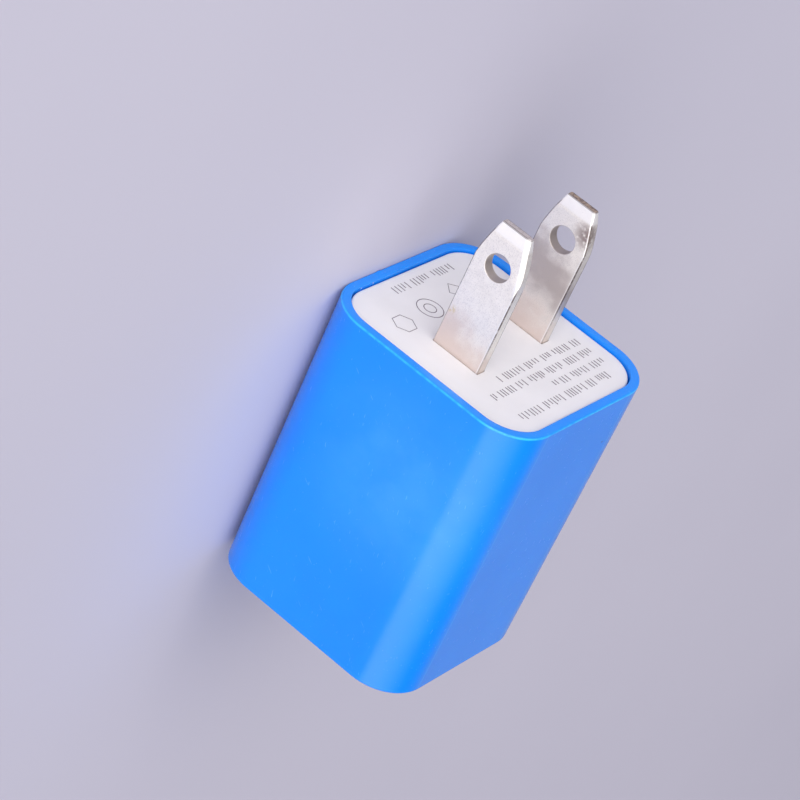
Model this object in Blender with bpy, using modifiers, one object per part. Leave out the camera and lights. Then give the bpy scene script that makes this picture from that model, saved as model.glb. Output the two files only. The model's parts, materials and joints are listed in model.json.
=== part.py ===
"""A mains charger cube with two flat blades and two stacked USB-A sockets.

Units are metres. +Y runs along the blades, away from the casing; +X runs from one blade to the
other; +Z is up when the charger is in a wall outlet. The origin is midway between the blades, on
the plane of the casing's rim, which is the plane that meets the outlet.
"""

import math

import bmesh
import bpy
from mathutils import Matrix, Vector

# Casing
BODY_SIDE = 0.0283  # outer side of the square casing at the rim
BODY_LENGTH = 0.0378
DRAFT = 0.00035  # how much each side comes in at the socket end
CORNER_RADIUS = 0.0058
WALL = 0.00115
END_WALL = 0.0014
RIM_ROUND = 0.00018
END_ROUND = 0.0004

# Rear cover
COVER_RECESS = 0.0004  # how far the cover lies below the rim
COVER_GAP = 0.00012
COVER_THICKNESS = 0.0019
COVER_DEPTH = 0.0048
SKIRT_WALL = 0.0012
COVER_ROUND = 0.0002
BOSS_WALL = 0.0011

# Blades
BLADE_SPACING = 0.0127
BLADE_WIDTH = 0.00635
BLADE_THICKNESS = 0.00145
BLADE_LENGTH = 0.0166  # from the rim plane to the tip
BLADE_TAPER_START = 0.0115
BLADE_TIP_WIDTH = 0.0038
TAPER_STEPS = 6
TAPER_BEND = 1.3  # 1 would make the taper's sides straight
BLADE_HOLE_DIAMETER = 0.0032
BLADE_HOLE_HEIGHT = 0.0117
TIP_CHAMFER_LENGTH = 0.0017
TIP_THICKNESS = 0.0008
BLADE_SLOT_GAP = 0.0001
BLADE_SHOULDER = 0.0042  # depth of the full-width part below the rim plane
SHOULDER_SLOPE = 0.0005
TAIL_WIDTH = 0.0032
TAIL_DEPTH = 0.0084

# Leads from the blades to the board
WIRE_RADIUS = 0.00055
WIRE_START = (-0.0072, 0.0008)  # Y and Z where a lead meets its blade's tail
WIRE_FOOT = (0.0097, -0.0075)  # X and Y where it meets the board
WIRE_PULL = (0.0004, 0.004, 0.003)  # how far it is pulled out and down at its start, and up at its foot
WIRE_STEPS = 9

# Sockets
PORT_WIDTH = 0.0125
PORT_HEIGHT = 0.00512
PORT_PITCH = 0.008
SHEET = 0.0003
SHIELD_FRONT = -0.0364
SHIELD_BACK = -0.0261
MOUTH_CLEARANCE = 0.00025
MOUTH_CORNER = 0.0004
TONGUE_WIDTH = 0.0111
TONGUE_THICKNESS = 0.00184
TONGUE_FRONT = -0.0352
HOUSING_BACK = -0.0241
SHIELD_CORNER = 0.0005
TONGUE_ROUND = 0.0003
CONTACT_OFFSETS = (-0.0035, -0.001, 0.001, 0.0035)
CONTACT_WIDTH = 0.0011
CONTACT_THICKNESS = 0.0002
CONTACT_CLEARANCE = 0.00005  # between a contact and its tongue
CONTACT_SETBACK = 0.0006  # of a contact's end behind the tongue's
CONTACT_BOW = 0.0004
CONTACT_BOW_AT = 0.0022  # from the contact's end
CONTACT_BOW_REACH = 0.0015

# Board
BOARD_TOP = -0.0072
BOARD_THICKNESS = 0.0012
BOARD_HALF_WIDTH = 0.0122
BOARD_FRONT = -0.0362
BOARD_BACK = -0.006
BOARD_CORNER = 0.0006
RAIL_HEIGHT = 0.0007
RAIL_REACH = 0.0115  # distance of a rail's inner edge from the middle plane
RAIL_BACK = -0.0068

# Transformer
TRANSFORMER_AT = (-0.0049, -0.0154, -0.0011)
CORE_LENGTH = 0.0128
CORE_WIDTH = 0.0126
CORE_THICKNESS = 0.006
CORE_LIMB = 0.0019
CENTRE_LIMB = 0.0032
BOBBIN_LENGTH = 0.0084
FLANGE_THICKNESS = 0.0008
FLANGE_WIDTH = 0.0084
FLANGE_HEIGHT = 0.0116
TUBE_WIDTH = 0.0046
TUBE_HEIGHT = 0.0076
WINDING_BUILD = (0.0028, 0.0026)  # what the winding adds to the tube's width and height
TAPE_GAP = 0.0001
TAPE_BUILD = 0.0007
WINDING_CORNER = 0.0012

# Parts on top of the board; each place is X and Y
INPUT_CAPACITOR = {"radius": 0.004, "height": 0.012, "place": (0.0074, -0.0132)}
OUTPUT_CAPACITOR = {"radius": 0.00315, "height": 0.009, "place": (0.0074, -0.0208)}
CAN_EDGE = 0.0004
CHOKE_AT = (0.0091, -0.0285)
CHOKE_RADIUS = 0.0022
CHOKE_WAIST = 0.0011
CHOKE_HEIGHT = 0.0062
CHOKE_FLANGE = 0.0012
DISC_AT = (-0.0091, -0.03)
DISC_RADIUS = 0.0035
DISC_THICKNESS = 0.0028
DISC_ROUND = 0.0006
DISC_LIFT = 0.001
DISC_LEAD_SPREAD = 0.0022
FUSE_AT = (-0.004, -0.0076, -0.0052)
FUSE_RADIUS = 0.0011
FUSE_LENGTH = 0.006
FUSE_ROUND = 0.0004
FUSE_BEND = 0.0006

# Parts under the board: place, then length, width and height, then leads on each side
SURFACE_PARTS = {
    "bridge_rectifier": ((0.0055, -0.012), (0.0047, 0.0039, 0.0022), 2),
    "controller_chip": ((-0.0055, -0.012), (0.0049, 0.0039, 0.0015), 4),
    "switch_transistor": ((-0.0055, -0.0195), (0.0045, 0.0025, 0.0015), 2),
    "output_diode": ((0.005, -0.024), (0.0036, 0.0046, 0.0022), 1),
}
PACKAGE_CLEARANCE = 0.00015  # between a package and the top of its leads
PACKAGE_ROUND = 0.00015
LEAD_THICKNESS = 0.0002
LEAD_REACH = 0.0008

GAP = 0.0003  # clearance between pieces that touch in the real charger
PIN_RADIUS = 0.0003
ARC_STEPS = 8
SHARP_ANGLE = 30
WIRE_SHARP_ANGLE = 50
CLEAN_DISTANCE = 1e-6

PARTS = None
CUTTERS = None


def clear_scene():
    for obj in list(bpy.data.objects):
        bpy.data.objects.remove(obj, do_unlink=True)


def new_collection(name):
    collection = bpy.data.collections.new(name)
    bpy.context.scene.collection.children.link(collection)
    return collection


def make_material(name, colour, roughness, metallic=0.0):
    material = bpy.data.materials.new(name)
    material.use_nodes = True
    shader = material.node_tree.nodes["Principled BSDF"]
    shader.inputs["Base Color"].default_value = (*colour, 1.0)
    shader.inputs["Roughness"].default_value = roughness
    shader.inputs["Metallic"].default_value = metallic
    return material


def make_materials():
    return {
        "casing": make_material("casing_plastic", (0.01, 0.22, 0.78), 0.28),
        "cover": make_material("cover_plastic", (0.82, 0.81, 0.84), 0.5),
        "blade": make_material("blade_metal", (0.72, 0.69, 0.65), 0.3, 1.0),
        "shield": make_material("shield_metal", (0.7, 0.7, 0.7), 0.25, 1.0),
        "socket": make_material("socket_plastic", (0.85, 0.85, 0.85), 0.45),
        "contact": make_material("contact_metal", (0.83, 0.62, 0.25), 0.25, 1.0),
        "wire": make_material("wire_insulation", (0.55, 0.03, 0.02), 0.5),
        "board": make_material("board_laminate", (0.05, 0.3, 0.1), 0.5),
        "ferrite": make_material("ferrite", (0.06, 0.06, 0.065), 0.6),
        "bobbin": make_material("bobbin_plastic", (0.03, 0.03, 0.03), 0.5),
        "copper": make_material("copper", (0.7, 0.3, 0.12), 0.3, 1.0),
        "tape": make_material("winding_tape", (0.8, 0.65, 0.08), 0.4),
        "capacitor": make_material("capacitor_sleeve", (0.03, 0.04, 0.1), 0.35),
        "ceramic": make_material("ceramic_coating", (0.05, 0.2, 0.55), 0.4),
        "resistor": make_material("resistor_coating", (0.35, 0.5, 0.35), 0.5),
        "epoxy": make_material("component_epoxy", (0.02, 0.02, 0.022), 0.5),
    }


def object_from(name, bm, material=None):
    """A part if it has a material, and otherwise a hidden cutter."""
    mesh = bpy.data.meshes.new(name)
    bm.to_mesh(mesh)
    bm.free()
    obj = bpy.data.objects.new(name, mesh)
    place(obj, material)
    return obj


def place(obj, material):
    if material is None:
        CUTTERS.objects.link(obj)
        obj.hide_render = True
        obj.display_type = "WIRE"
        return
    PARTS.objects.link(obj)
    obj.data.materials.append(material)


def box(low, high):
    low, high = Vector(low), Vector(high)
    bm = bmesh.new()
    grow = Matrix.Diagonal((high - low).to_4d())
    bmesh.ops.create_cube(bm, size=1.0, matrix=Matrix.Translation((low + high) / 2) @ grow)
    return bm


def cylinder(radius, start, end, segments=24):
    """A closed cylinder from one point to another."""
    start, end = Vector(start), Vector(end)
    axis = end - start
    turn = Vector((0, 0, 1)).rotation_difference(axis).to_matrix().to_4x4()
    bm = bmesh.new()
    bmesh.ops.create_cone(
        bm,
        cap_ends=True,
        segments=segments,
        radius1=radius,
        radius2=radius,
        depth=axis.length,
        matrix=Matrix.Translation((start + end) / 2) @ turn,
    )
    return bm


def join(*pieces):
    """One bmesh that holds the shells of several."""
    whole = bmesh.new()
    for piece in pieces:
        mesh = bpy.data.meshes.new("piece")
        piece.to_mesh(mesh)
        piece.free()
        whole.from_mesh(mesh)
        bpy.data.meshes.remove(mesh)
    return whole


def round_edges(bm, edges, radius, segments):
    bmesh.ops.bevel(
        bm,
        geom=edges,
        offset=radius,
        segments=segments,
        profile=0.5,
        affect="EDGES",
        clamp_overlap=True,
    )


def edges_along(bm, axis):
    """The edges whose two ends differ mostly along this axis."""
    found = []
    for edge in bm.edges:
        run = edge.verts[1].co - edge.verts[0].co
        if abs(run[axis]) > 0.9 * run.length:
            found.append(edge)
    return found


def edges_at(bm, axis, value):
    """The edges that lie in one plane across an axis."""
    found = []
    for edge in bm.edges:
        if all(abs(vert.co[axis] - value) < CLEAN_DISTANCE for vert in edge.verts):
            found.append(edge)
    return found


def boolean(obj, cutter, operation="DIFFERENCE"):
    modifier = obj.modifiers.new(cutter.name, "BOOLEAN")
    modifier.operation = operation
    modifier.solver = "EXACT"
    modifier.object = cutter


def half_side(y, inset=0.0):
    """Half of the casing's side at this depth, less an inset."""
    return BODY_SIDE / 2 + DRAFT * y / BODY_LENGTH - inset


def casing_block(y_low, y_high, inset, corner):
    """A solid that follows the casing's drafted, rounded-square shape, inset by some depth."""
    bm = box((-1, -1, -1), (1, 1, 1))
    for vert in bm.verts:
        y = y_high if vert.co.y > 0 else y_low
        half = half_side(y, inset)
        vert.co = Vector((math.copysign(half, vert.co.x), y, math.copysign(half, vert.co.z)))
    round_edges(bm, edges_along(bm, 1), corner, ARC_STEPS)
    return bm


def port_centres():
    return (("upper", PORT_PITCH / 2), ("lower", -PORT_PITCH / 2))


def smooth(obj, degrees=SHARP_ANGLE):
    obj.data.shade_smooth()
    obj.data.set_sharp_from_angle(angle=math.radians(degrees))


def make_outer_shell(material):
    bm = casing_block(-BODY_LENGTH, 0, 0, CORNER_RADIUS)
    round_edges(bm, edges_at(bm, 1, 0), RIM_ROUND, 2)
    round_edges(bm, edges_at(bm, 1, -BODY_LENGTH), END_ROUND, 3)
    shell = object_from("outer_shell", bm, material)

    inside = casing_block(-BODY_LENGTH + END_WALL, WALL, WALL, CORNER_RADIUS - WALL)
    boolean(shell, object_from("casing_cavity", inside))
    boolean(shell, make_board_rails(), "UNION")
    for name, centre in port_centres():
        boolean(shell, make_mouth_cutter(f"{name}_mouth_cutter", centre))
    smooth(shell)


def make_board_rails():
    """Four ribs in the casing, two above and two below the board's edges."""
    start = -BODY_LENGTH + END_WALL / 2
    outer = half_side(start, WALL / 2)
    above = BOARD_TOP + GAP
    below = BOARD_TOP - BOARD_THICKNESS - GAP - RAIL_HEIGHT
    ribs = []
    for side in (-1, 1):
        near, far = sorted((side * RAIL_REACH, side * outer))
        for z in (above, below):
            ribs.append(box((near, start, z), (far, RAIL_BACK, z + RAIL_HEIGHT)))
    return object_from("board_rails", join(*ribs))


def make_mouth_cutter(name, centre):
    half_width = PORT_WIDTH / 2 + MOUTH_CLEARANCE
    half_height = PORT_HEIGHT / 2 + MOUTH_CLEARANCE
    bm = box(
        (-half_width, -BODY_LENGTH - END_WALL, centre - half_height),
        (half_width, -BODY_LENGTH + 2 * END_WALL, centre + half_height),
    )
    round_edges(bm, edges_along(bm, 1), MOUTH_CORNER, 3)
    return object_from(name, bm)


def make_rear_cover(material):
    inset = WALL + COVER_GAP
    front = -COVER_RECESS
    back = front - COVER_DEPTH
    bm = casing_block(back, front, inset, CORNER_RADIUS - inset)
    round_edges(bm, edges_at(bm, 1, front), COVER_ROUND, 2)
    cover = object_from("rear_cover", bm, material)

    inset += SKIRT_WALL
    plate_back = front - COVER_THICKNESS
    pocket = casing_block(back - WALL, plate_back, inset, CORNER_RADIUS - inset)
    boolean(cover, object_from("cover_pocket", pocket))

    reach = (BLADE_THICKNESS / 2 + BOSS_WALL, BLADE_WIDTH / 2 + BOSS_WALL)
    slot = (BLADE_THICKNESS / 2 + BLADE_SLOT_GAP, BLADE_WIDTH / 2 + BLADE_SLOT_GAP)
    bosses = []
    slots = []
    for side in (-1, 1):
        x = side * BLADE_SPACING / 2
        bosses.append(
            box((x - reach[0], back, -reach[1]), (x + reach[0], plate_back + GAP, reach[1]))
        )
        slots.append(box((x - slot[0], back - WALL, -slot[1]), (x + slot[0], WALL, slot[1])))
    boolean(cover, object_from("blade_bosses", join(*bosses)), "UNION")
    boolean(cover, object_from("blade_slots", join(*slots)))
    smooth(cover)


def flat_piece(name, outline, thickness, turn, at, material):
    """A closed 2-D outline made solid, centred on its plane, then turned and placed."""
    curve = bpy.data.curves.new(name + "_outline", "CURVE")
    curve.dimensions = "2D"
    curve.fill_mode = "BOTH"
    curve.extrude = thickness / 2
    spline = curve.splines.new("POLY")
    spline.points.add(len(outline) - 1)
    for point, (u, v) in zip(spline.points, outline):
        point.co = (u, v, 0, 1)
    spline.use_cyclic_u = True
    return mesh_of_curve(name, curve, Matrix.Translation(at) @ turn, material)


def mesh_of_curve(name, curve, matrix, material):
    guide = bpy.data.objects.new(name + "_guide", curve)
    bpy.context.scene.collection.objects.link(guide)
    guide.matrix_world = matrix
    bpy.context.view_layer.update()
    graph = bpy.context.evaluated_depsgraph_get()
    mesh = bpy.data.meshes.new_from_object(guide.evaluated_get(graph))
    mesh.name = name
    mesh.materials.clear()
    bm = bmesh.new()
    bm.from_mesh(mesh)
    bmesh.ops.remove_doubles(bm, verts=bm.verts, dist=CLEAN_DISTANCE)
    bmesh.ops.recalc_face_normals(bm, faces=bm.faces)
    bm.to_mesh(mesh)
    bm.free()
    obj = bpy.data.objects.new(name, mesh)
    obj.matrix_world = matrix
    bpy.data.objects.remove(guide, do_unlink=True)
    place(obj, material)
    smooth(obj)
    return obj


def tube(name, points, radius, material):
    """A round wire along a list of points."""
    curve = bpy.data.curves.new(name + "_path", "CURVE")
    curve.dimensions = "3D"
    curve.bevel_depth = radius
    curve.bevel_resolution = 2
    curve.use_fill_caps = True
    spline = curve.splines.new("POLY")
    spline.points.add(len(points) - 1)
    for point, position in zip(spline.points, points):
        point.co = (*position, 1)
    return mesh_of_curve(name, curve, Matrix.Identity(4), material)


def blade_outline():
    """Half outlines of width against height, mirrored: tail, shoulder, straight sides, taper."""
    half, tip = BLADE_WIDTH / 2, BLADE_TIP_WIDTH / 2
    tail = TAIL_WIDTH / 2
    side = [(tail, -TAIL_DEPTH), (tail, -BLADE_SHOULDER - SHOULDER_SLOPE), (half, -BLADE_SHOULDER)]
    for step in range(TAPER_STEPS + 1):
        along = step / TAPER_STEPS
        y = BLADE_TAPER_START + along * (BLADE_LENGTH - BLADE_TAPER_START)
        side.append((half - (half - tip) * along**TAPER_BEND, y))
    return side + [(-width, y) for width, y in reversed(side)]


def make_tip_wedges(name, x):
    """Two blocks that slope in towards the tip and so thin its broad faces."""
    drop = (BLADE_THICKNESS - TIP_THICKNESS) / 2
    angle = math.atan2(drop, TIP_CHAMFER_LENGTH)
    wedges = []
    for side in (-1, 1):
        bm = box(
            (0, -TIP_CHAMFER_LENGTH, -BLADE_WIDTH),
            (BLADE_THICKNESS, 2 * TIP_CHAMFER_LENGTH, BLADE_WIDTH),
        )
        bmesh.ops.rotate(bm, verts=bm.verts, matrix=Matrix.Rotation(angle, 3, "Z"))
        if side < 0:
            bmesh.ops.scale(bm, verts=bm.verts, vec=(-1, 1, 1))
            bmesh.ops.reverse_faces(bm, faces=bm.faces)
        corner = (x + side * BLADE_THICKNESS / 2, BLADE_LENGTH - TIP_CHAMFER_LENGTH, 0)
        bmesh.ops.translate(bm, verts=bm.verts, vec=corner)
        wedges.append(bm)
    return object_from(name, join(*wedges))


def make_blade(side_name, side, material):
    name = f"blade_{side_name}"
    x = side * BLADE_SPACING / 2
    # The outline's u runs along Z and its v along Y, so its plane faces -X.
    turn = Matrix(((0, 0, -1, 0), (0, 1, 0, 0), (1, 0, 0, 0), (0, 0, 0, 1)))
    blade = flat_piece(name, blade_outline(), BLADE_THICKNESS, turn, (x, 0, 0), material)
    reach = 2 * BLADE_THICKNESS
    hole = cylinder(
        BLADE_HOLE_DIAMETER / 2,
        (x - reach, BLADE_HOLE_HEIGHT, 0),
        (x + reach, BLADE_HOLE_HEIGHT, 0),
    )
    boolean(blade, object_from(name + "_hole", hole))
    boolean(blade, make_tip_wedges(name + "_tip_wedges", x))
    smooth(blade)


def make_blade_wire(side_name, side, material):
    """An insulated lead from the outside of a blade's tail down to the board."""
    beside = BLADE_SPACING / 2 + BLADE_THICKNESS / 2 + GAP + WIRE_RADIUS
    start = Vector((side * beside, *WIRE_START))
    end = Vector((side * WIRE_FOOT[0], WIRE_FOOT[1], BOARD_TOP + GAP))
    out, down, up = WIRE_PULL
    bend = (start + Vector((side * out, 0, -down)), end + Vector((0, 0, up)))
    points = []
    for step in range(WIRE_STEPS + 1):
        t = step / WIRE_STEPS
        points.append(
            (1 - t) ** 3 * start
            + 3 * (1 - t) ** 2 * t * bend[0]
            + 3 * (1 - t) * t**2 * bend[1]
            + t**3 * end
        )
    smooth(tube(f"blade_wire_{side_name}", points, WIRE_RADIUS, material), WIRE_SHARP_ANGLE)


def make_main_board(material):
    bm = box(
        (-BOARD_HALF_WIDTH, BOARD_FRONT, BOARD_TOP - BOARD_THICKNESS),
        (BOARD_HALF_WIDTH, BOARD_BACK, BOARD_TOP),
    )
    round_edges(bm, edges_along(bm, 2), BOARD_CORNER, 2)
    object_from("main_board", bm, material)


def make_usb_shield(material):
    """A sheet-metal can with a cell for each socket and one between them."""
    half_width = PORT_WIDTH / 2
    top = PORT_PITCH / 2 + PORT_HEIGHT / 2
    bm = box(
        (-half_width - SHEET, SHIELD_FRONT, -top - SHEET),
        (half_width + SHEET, SHIELD_BACK, top + SHEET),
    )
    round_edges(bm, edges_along(bm, 1), SHIELD_CORNER, 3)
    shield = object_from("usb_shield", bm, material)
    middle = PORT_PITCH - PORT_HEIGHT - 2 * SHEET
    cells = (
        ("upper", PORT_PITCH / 2, PORT_HEIGHT),
        ("middle", 0, middle),
        ("lower", -PORT_PITCH / 2, PORT_HEIGHT),
    )
    for name, centre, height in cells:
        cell = box(
            (-half_width, SHIELD_FRONT - WALL, centre - height / 2),
            (half_width, SHIELD_BACK + WALL, centre + height / 2),
        )
        boolean(shield, object_from(f"shield_{name}_cell", cell))


def make_usb_housing(material):
    """The plastic block behind both sockets, with a tongue for each and a bar between them."""
    top = PORT_PITCH / 2 + PORT_HEIGHT / 2 + SHEET
    half_width = PORT_WIDTH / 2
    back = box((-half_width, SHIELD_BACK + GAP, -top), (half_width, HOUSING_BACK, top))
    housing = object_from("usb_housing", back, material)
    bar = PORT_PITCH / 2 - PORT_HEIGHT / 2 - SHEET - GAP
    root = SHIELD_BACK + 2 * GAP
    forward = [box((-half_width + GAP, SHIELD_FRONT, -bar), (half_width - GAP, root, bar))]
    for _, centre in port_centres():
        tongue = box(
            (-TONGUE_WIDTH / 2, TONGUE_FRONT, centre),
            (TONGUE_WIDTH / 2, root, centre + TONGUE_THICKNESS),
        )
        round_edges(tongue, edges_at(tongue, 1, TONGUE_FRONT), TONGUE_ROUND, 2)
        forward.append(tongue)
    boolean(housing, object_from("housing_tongues", join(*forward)), "UNION")


def make_contacts(material):
    """Four sprung strips under each tongue, bowed where they touch a plug."""
    top = -CONTACT_CLEARANCE
    front, back = TONGUE_FRONT + CONTACT_SETBACK, SHIELD_BACK - GAP
    bow_at = front + CONTACT_BOW_AT
    upper = [(back, top), (bow_at + CONTACT_BOW_REACH, top), (bow_at, top - CONTACT_BOW), (front, top)]
    lower = [(y, z - CONTACT_THICKNESS) for y, z in reversed(upper)]
    # The outline's u runs along Y and its v along Z, so its plane faces +X.
    turn = Matrix(((0, 0, 1, 0), (1, 0, 0, 0), (0, 1, 0, 0), (0, 0, 0, 1)))
    for port, centre in port_centres():
        for number, x in enumerate(CONTACT_OFFSETS, 1):
            name = f"usb_{port}_contact_{number}"
            flat_piece(name, upper + lower, CONTACT_WIDTH, turn, (x, 0, centre), material)


def core_outline():
    """One half of an E core: a back bar along v with three limbs that run along +u."""
    half, limb, centre = CORE_WIDTH / 2, CORE_LIMB, CENTRE_LIMB / 2
    length = CORE_LENGTH / 2 - GAP / 2
    upper = [(length, centre), (limb, centre), (limb, half - limb), (length, half - limb), (length, half)]
    outline = [(0, half)] + list(reversed(upper))
    return outline + [(u, -v) for u, v in reversed(outline)]


def make_transformer(materials):
    at = Vector(TRANSFORMER_AT)
    start = at - Vector((CORE_LENGTH / 2, 0, 0))
    end = at + Vector((CORE_LENGTH / 2, 0, 0))
    turned = Matrix.Rotation(math.pi, 4, "Z")
    outline = core_outline()
    flat_piece(
        "transformer_core_left", outline, CORE_THICKNESS, Matrix.Identity(4), start, materials["ferrite"]
    )
    flat_piece("transformer_core_right", outline, CORE_THICKNESS, turned, end, materials["ferrite"])
    make_bobbin(at, materials["bobbin"])

    length = BOBBIN_LENGTH - 2 * FLANGE_THICKNESS - 2 * GAP
    winding = (TUBE_WIDTH + WINDING_BUILD[0], TUBE_HEIGHT + WINDING_BUILD[1])
    tape = (winding[0] + TAPE_BUILD, winding[1] + TAPE_BUILD)
    tube_size = (TUBE_WIDTH + GAP, TUBE_HEIGHT + GAP)
    sleeve("transformer_winding", at, length, winding, tube_size, materials["copper"])
    inner = (winding[0] + TAPE_GAP, winding[1] + TAPE_GAP)
    sleeve("transformer_tape", at, length, tape, inner, materials["tape"])


def centred_box(at, size):
    half = Vector(size) / 2
    return box(Vector(at) - half, Vector(at) + half)


def sleeve(name, at, length, outer, inner, material):
    """A rounded rectangular ring around an axis along X."""
    bm = centred_box(at, (length, *outer))
    round_edges(bm, edges_along(bm, 0), WINDING_CORNER, 4)
    ring = object_from(name, bm, material)
    hole = centred_box(at, (2 * length, *inner))
    if inner[0] > TUBE_WIDTH + 2 * GAP:
        round_edges(hole, edges_along(hole, 0), WINDING_CORNER, 4)
    boolean(ring, object_from(name + "_hole", hole))
    smooth(ring)


def make_bobbin(at, material):
    bobbin = object_from(
        "transformer_bobbin", centred_box(at, (BOBBIN_LENGTH, TUBE_WIDTH, TUBE_HEIGHT)), material
    )
    flanges = []
    for side in (-1, 1):
        middle = at + Vector((side * (BOBBIN_LENGTH - FLANGE_THICKNESS) / 2, 0, 0))
        flanges.append(centred_box(middle, (FLANGE_THICKNESS, FLANGE_WIDTH, FLANGE_HEIGHT)))
    boolean(bobbin, object_from("bobbin_flanges", join(*flanges)), "UNION")
    opening = (2 * BOBBIN_LENGTH, CENTRE_LIMB + 2 * GAP, CORE_THICKNESS + 2 * GAP)
    boolean(bobbin, object_from("bobbin_opening", centred_box(at, opening)))


def turned_piece(name, profile, at, material, steps=24):
    """A profile of (radius, height) points, from the top down, turned about a vertical axis."""
    bm = bmesh.new()
    verts = [bm.verts.new((radius, 0, height)) for radius, height in profile]
    for first, second in zip(verts, verts[1:]):
        bm.edges.new((first, second))
    obj = object_from(name, bm, material)
    obj.location = at
    screw = obj.modifiers.new("turn", "SCREW")
    screw.axis = "Z"
    screw.steps = steps
    screw.render_steps = steps
    screw.use_merge_vertices = True
    screw.merge_threshold = CLEAN_DISTANCE
    screw.use_smooth_shade = True
    return obj


def make_capacitor(name, can, material):
    """An electrolytic can with a crimped waist near its seal, standing on the board."""
    radius, height, edge = can["radius"], can["height"], CAN_EDGE
    profile = [
        (0, height),
        (radius - edge, height),
        (radius, height - edge),
        (radius, 3.4 * edge),
        (radius - edge, 2.6 * edge),
        (radius - edge, 2.2 * edge),
        (radius, 1.4 * edge),
        (radius, edge / 2),
        (radius - edge / 2, 0),
        (0, 0),
    ]
    turned_piece(name, profile, (*can["place"], BOARD_TOP + GAP), material)


def make_output_choke(core_material, winding_material):
    """A drum core beside the sockets, with its winding in the waist."""
    radius, waist, height, flange = CHOKE_RADIUS, CHOKE_WAIST, CHOKE_HEIGHT, CHOKE_FLANGE
    at = (*CHOKE_AT, BOARD_TOP + GAP)
    profile = [
        (0, height),
        (radius, height),
        (radius, height - flange),
        (waist, height - flange),
        (waist, flange),
        (radius, flange),
        (radius, 0),
        (0, 0),
    ]
    turned_piece("output_choke", profile, at, core_material, 20)
    low, high = flange + GAP / 2, height - flange - GAP / 2
    inner, outer = waist + GAP / 2, radius - GAP
    ring = [(outer, high), (outer, low), (inner, low), (inner, high), (outer, high)]
    turned_piece("choke_winding", ring, at, winding_material, 20)


def make_safety_capacitor(material):
    """A coated ceramic disc on edge, on two straight leads."""
    x, y = DISC_AT
    z = BOARD_TOP + GAP + DISC_LIFT + DISC_RADIUS
    half = DISC_THICKNESS / 2
    disc = cylinder(DISC_RADIUS, (x - half, y, z), (x + half, y, z))
    for rim in (x - half, x + half):
        round_edges(disc, edges_at(disc, 0, rim), DISC_ROUND, 2)
    capacitor = object_from("safety_capacitor", disc, material)
    leads = []
    for side in (-1, 1):
        lead_y = y + side * DISC_LEAD_SPREAD
        foot = (x, lead_y, BOARD_TOP + GAP)
        leads.append(cylinder(PIN_RADIUS, foot, (x, lead_y, z - DISC_LIFT), 8))
    boolean(capacitor, object_from("safety_capacitor_leads", join(*leads)), "UNION")
    smooth(capacitor)


def make_fuse_resistor(material):
    """An axial resistor lying across the board, with its leads bent down."""
    x, y, z = FUSE_AT
    half, bend = FUSE_LENGTH / 2, FUSE_BEND
    foot = BOARD_TOP + GAP
    body = cylinder(FUSE_RADIUS, (x - half, y, z), (x + half, y, z), 20)
    for end in (x - half, x + half):
        round_edges(body, edges_at(body, 0, end), FUSE_ROUND, 2)
    resistor = object_from("fuse_resistor", body, material)
    reach = half + 2 * bend
    path = [
        (x - reach, y, foot),
        (x - reach, y, z - bend),
        (x - reach + bend, y, z),
        (x + reach - bend, y, z),
        (x + reach, y, z - bend),
        (x + reach, y, foot),
    ]
    boolean(resistor, tube("fuse_resistor_leads", path, PIN_RADIUS, None), "UNION")
    smooth(resistor)


def make_surface_part(name, at, size, leads_per_side, material):
    """A moulded package under the board, with flat leads that reach up to it."""
    x, y = at
    length, width, height = size
    lead = LEAD_THICKNESS
    top = BOARD_TOP - BOARD_THICKNESS - GAP
    low = (x - length / 2, y - width / 2, top - height)
    bm = box(low, (x + length / 2, y + width / 2, top - PACKAGE_CLEARANCE))
    round_edges(bm, edges_along(bm, 2), PACKAGE_ROUND, 1)
    part = object_from(name, bm, material)
    pitch = length / leads_per_side
    middle = top - height / 2
    shapes = []
    for side in (-1, 1):
        inner, outer = y + side * (width / 2 - lead), y + side * (width / 2 + LEAD_REACH)
        wall = outer - side * lead
        for number in range(leads_per_side):
            centre = x - length / 2 + (number + 0.5) * pitch
            left, right = centre - pitch / 6, centre + pitch / 6
            near, far = sorted((inner, outer))
            shapes.append(box((left, near, middle - lead), (right, far, middle)))
            near, far = sorted((wall, outer))
            shapes.append(box((left + lead / 8, near, middle - lead / 2), (right - lead / 8, far, top)))
    boolean(part, object_from(name + "_leads", join(*shapes)), "UNION")


def make_charger():
    materials = make_materials()
    make_outer_shell(materials["casing"])
    make_rear_cover(materials["cover"])
    for side_name, side in (("left", -1), ("right", 1)):
        make_blade(side_name, side, materials["blade"])
        make_blade_wire(side_name, side, materials["wire"])
    make_main_board(materials["board"])
    make_usb_shield(materials["shield"])
    make_usb_housing(materials["socket"])
    make_contacts(materials["contact"])
    make_transformer(materials)
    make_capacitor("input_capacitor", INPUT_CAPACITOR, materials["capacitor"])
    make_capacitor("output_capacitor", OUTPUT_CAPACITOR, materials["capacitor"])
    make_output_choke(materials["ferrite"], materials["copper"])
    make_safety_capacitor(materials["ceramic"])
    make_fuse_resistor(materials["resistor"])
    for name, (at, size, leads) in SURFACE_PARTS.items():
        make_surface_part(name, at, size, leads, materials["epoxy"])


clear_scene()
PARTS = new_collection("usb_wall_charger")
CUTTERS = new_collection("cutters")
make_charger()
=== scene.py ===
"""The looks of a two-socket wall charger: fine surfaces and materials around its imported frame.

Lengths are in metres, in the frame's own axes: +Y along the blades, +X from blade to blade, and
+Z up when the charger is in a wall. Here it lies on its -Z side, as it would on a table.
"""

import json
import math
import random

import bmesh
import bpy
from mathutils import Matrix, Vector, noise


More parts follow.
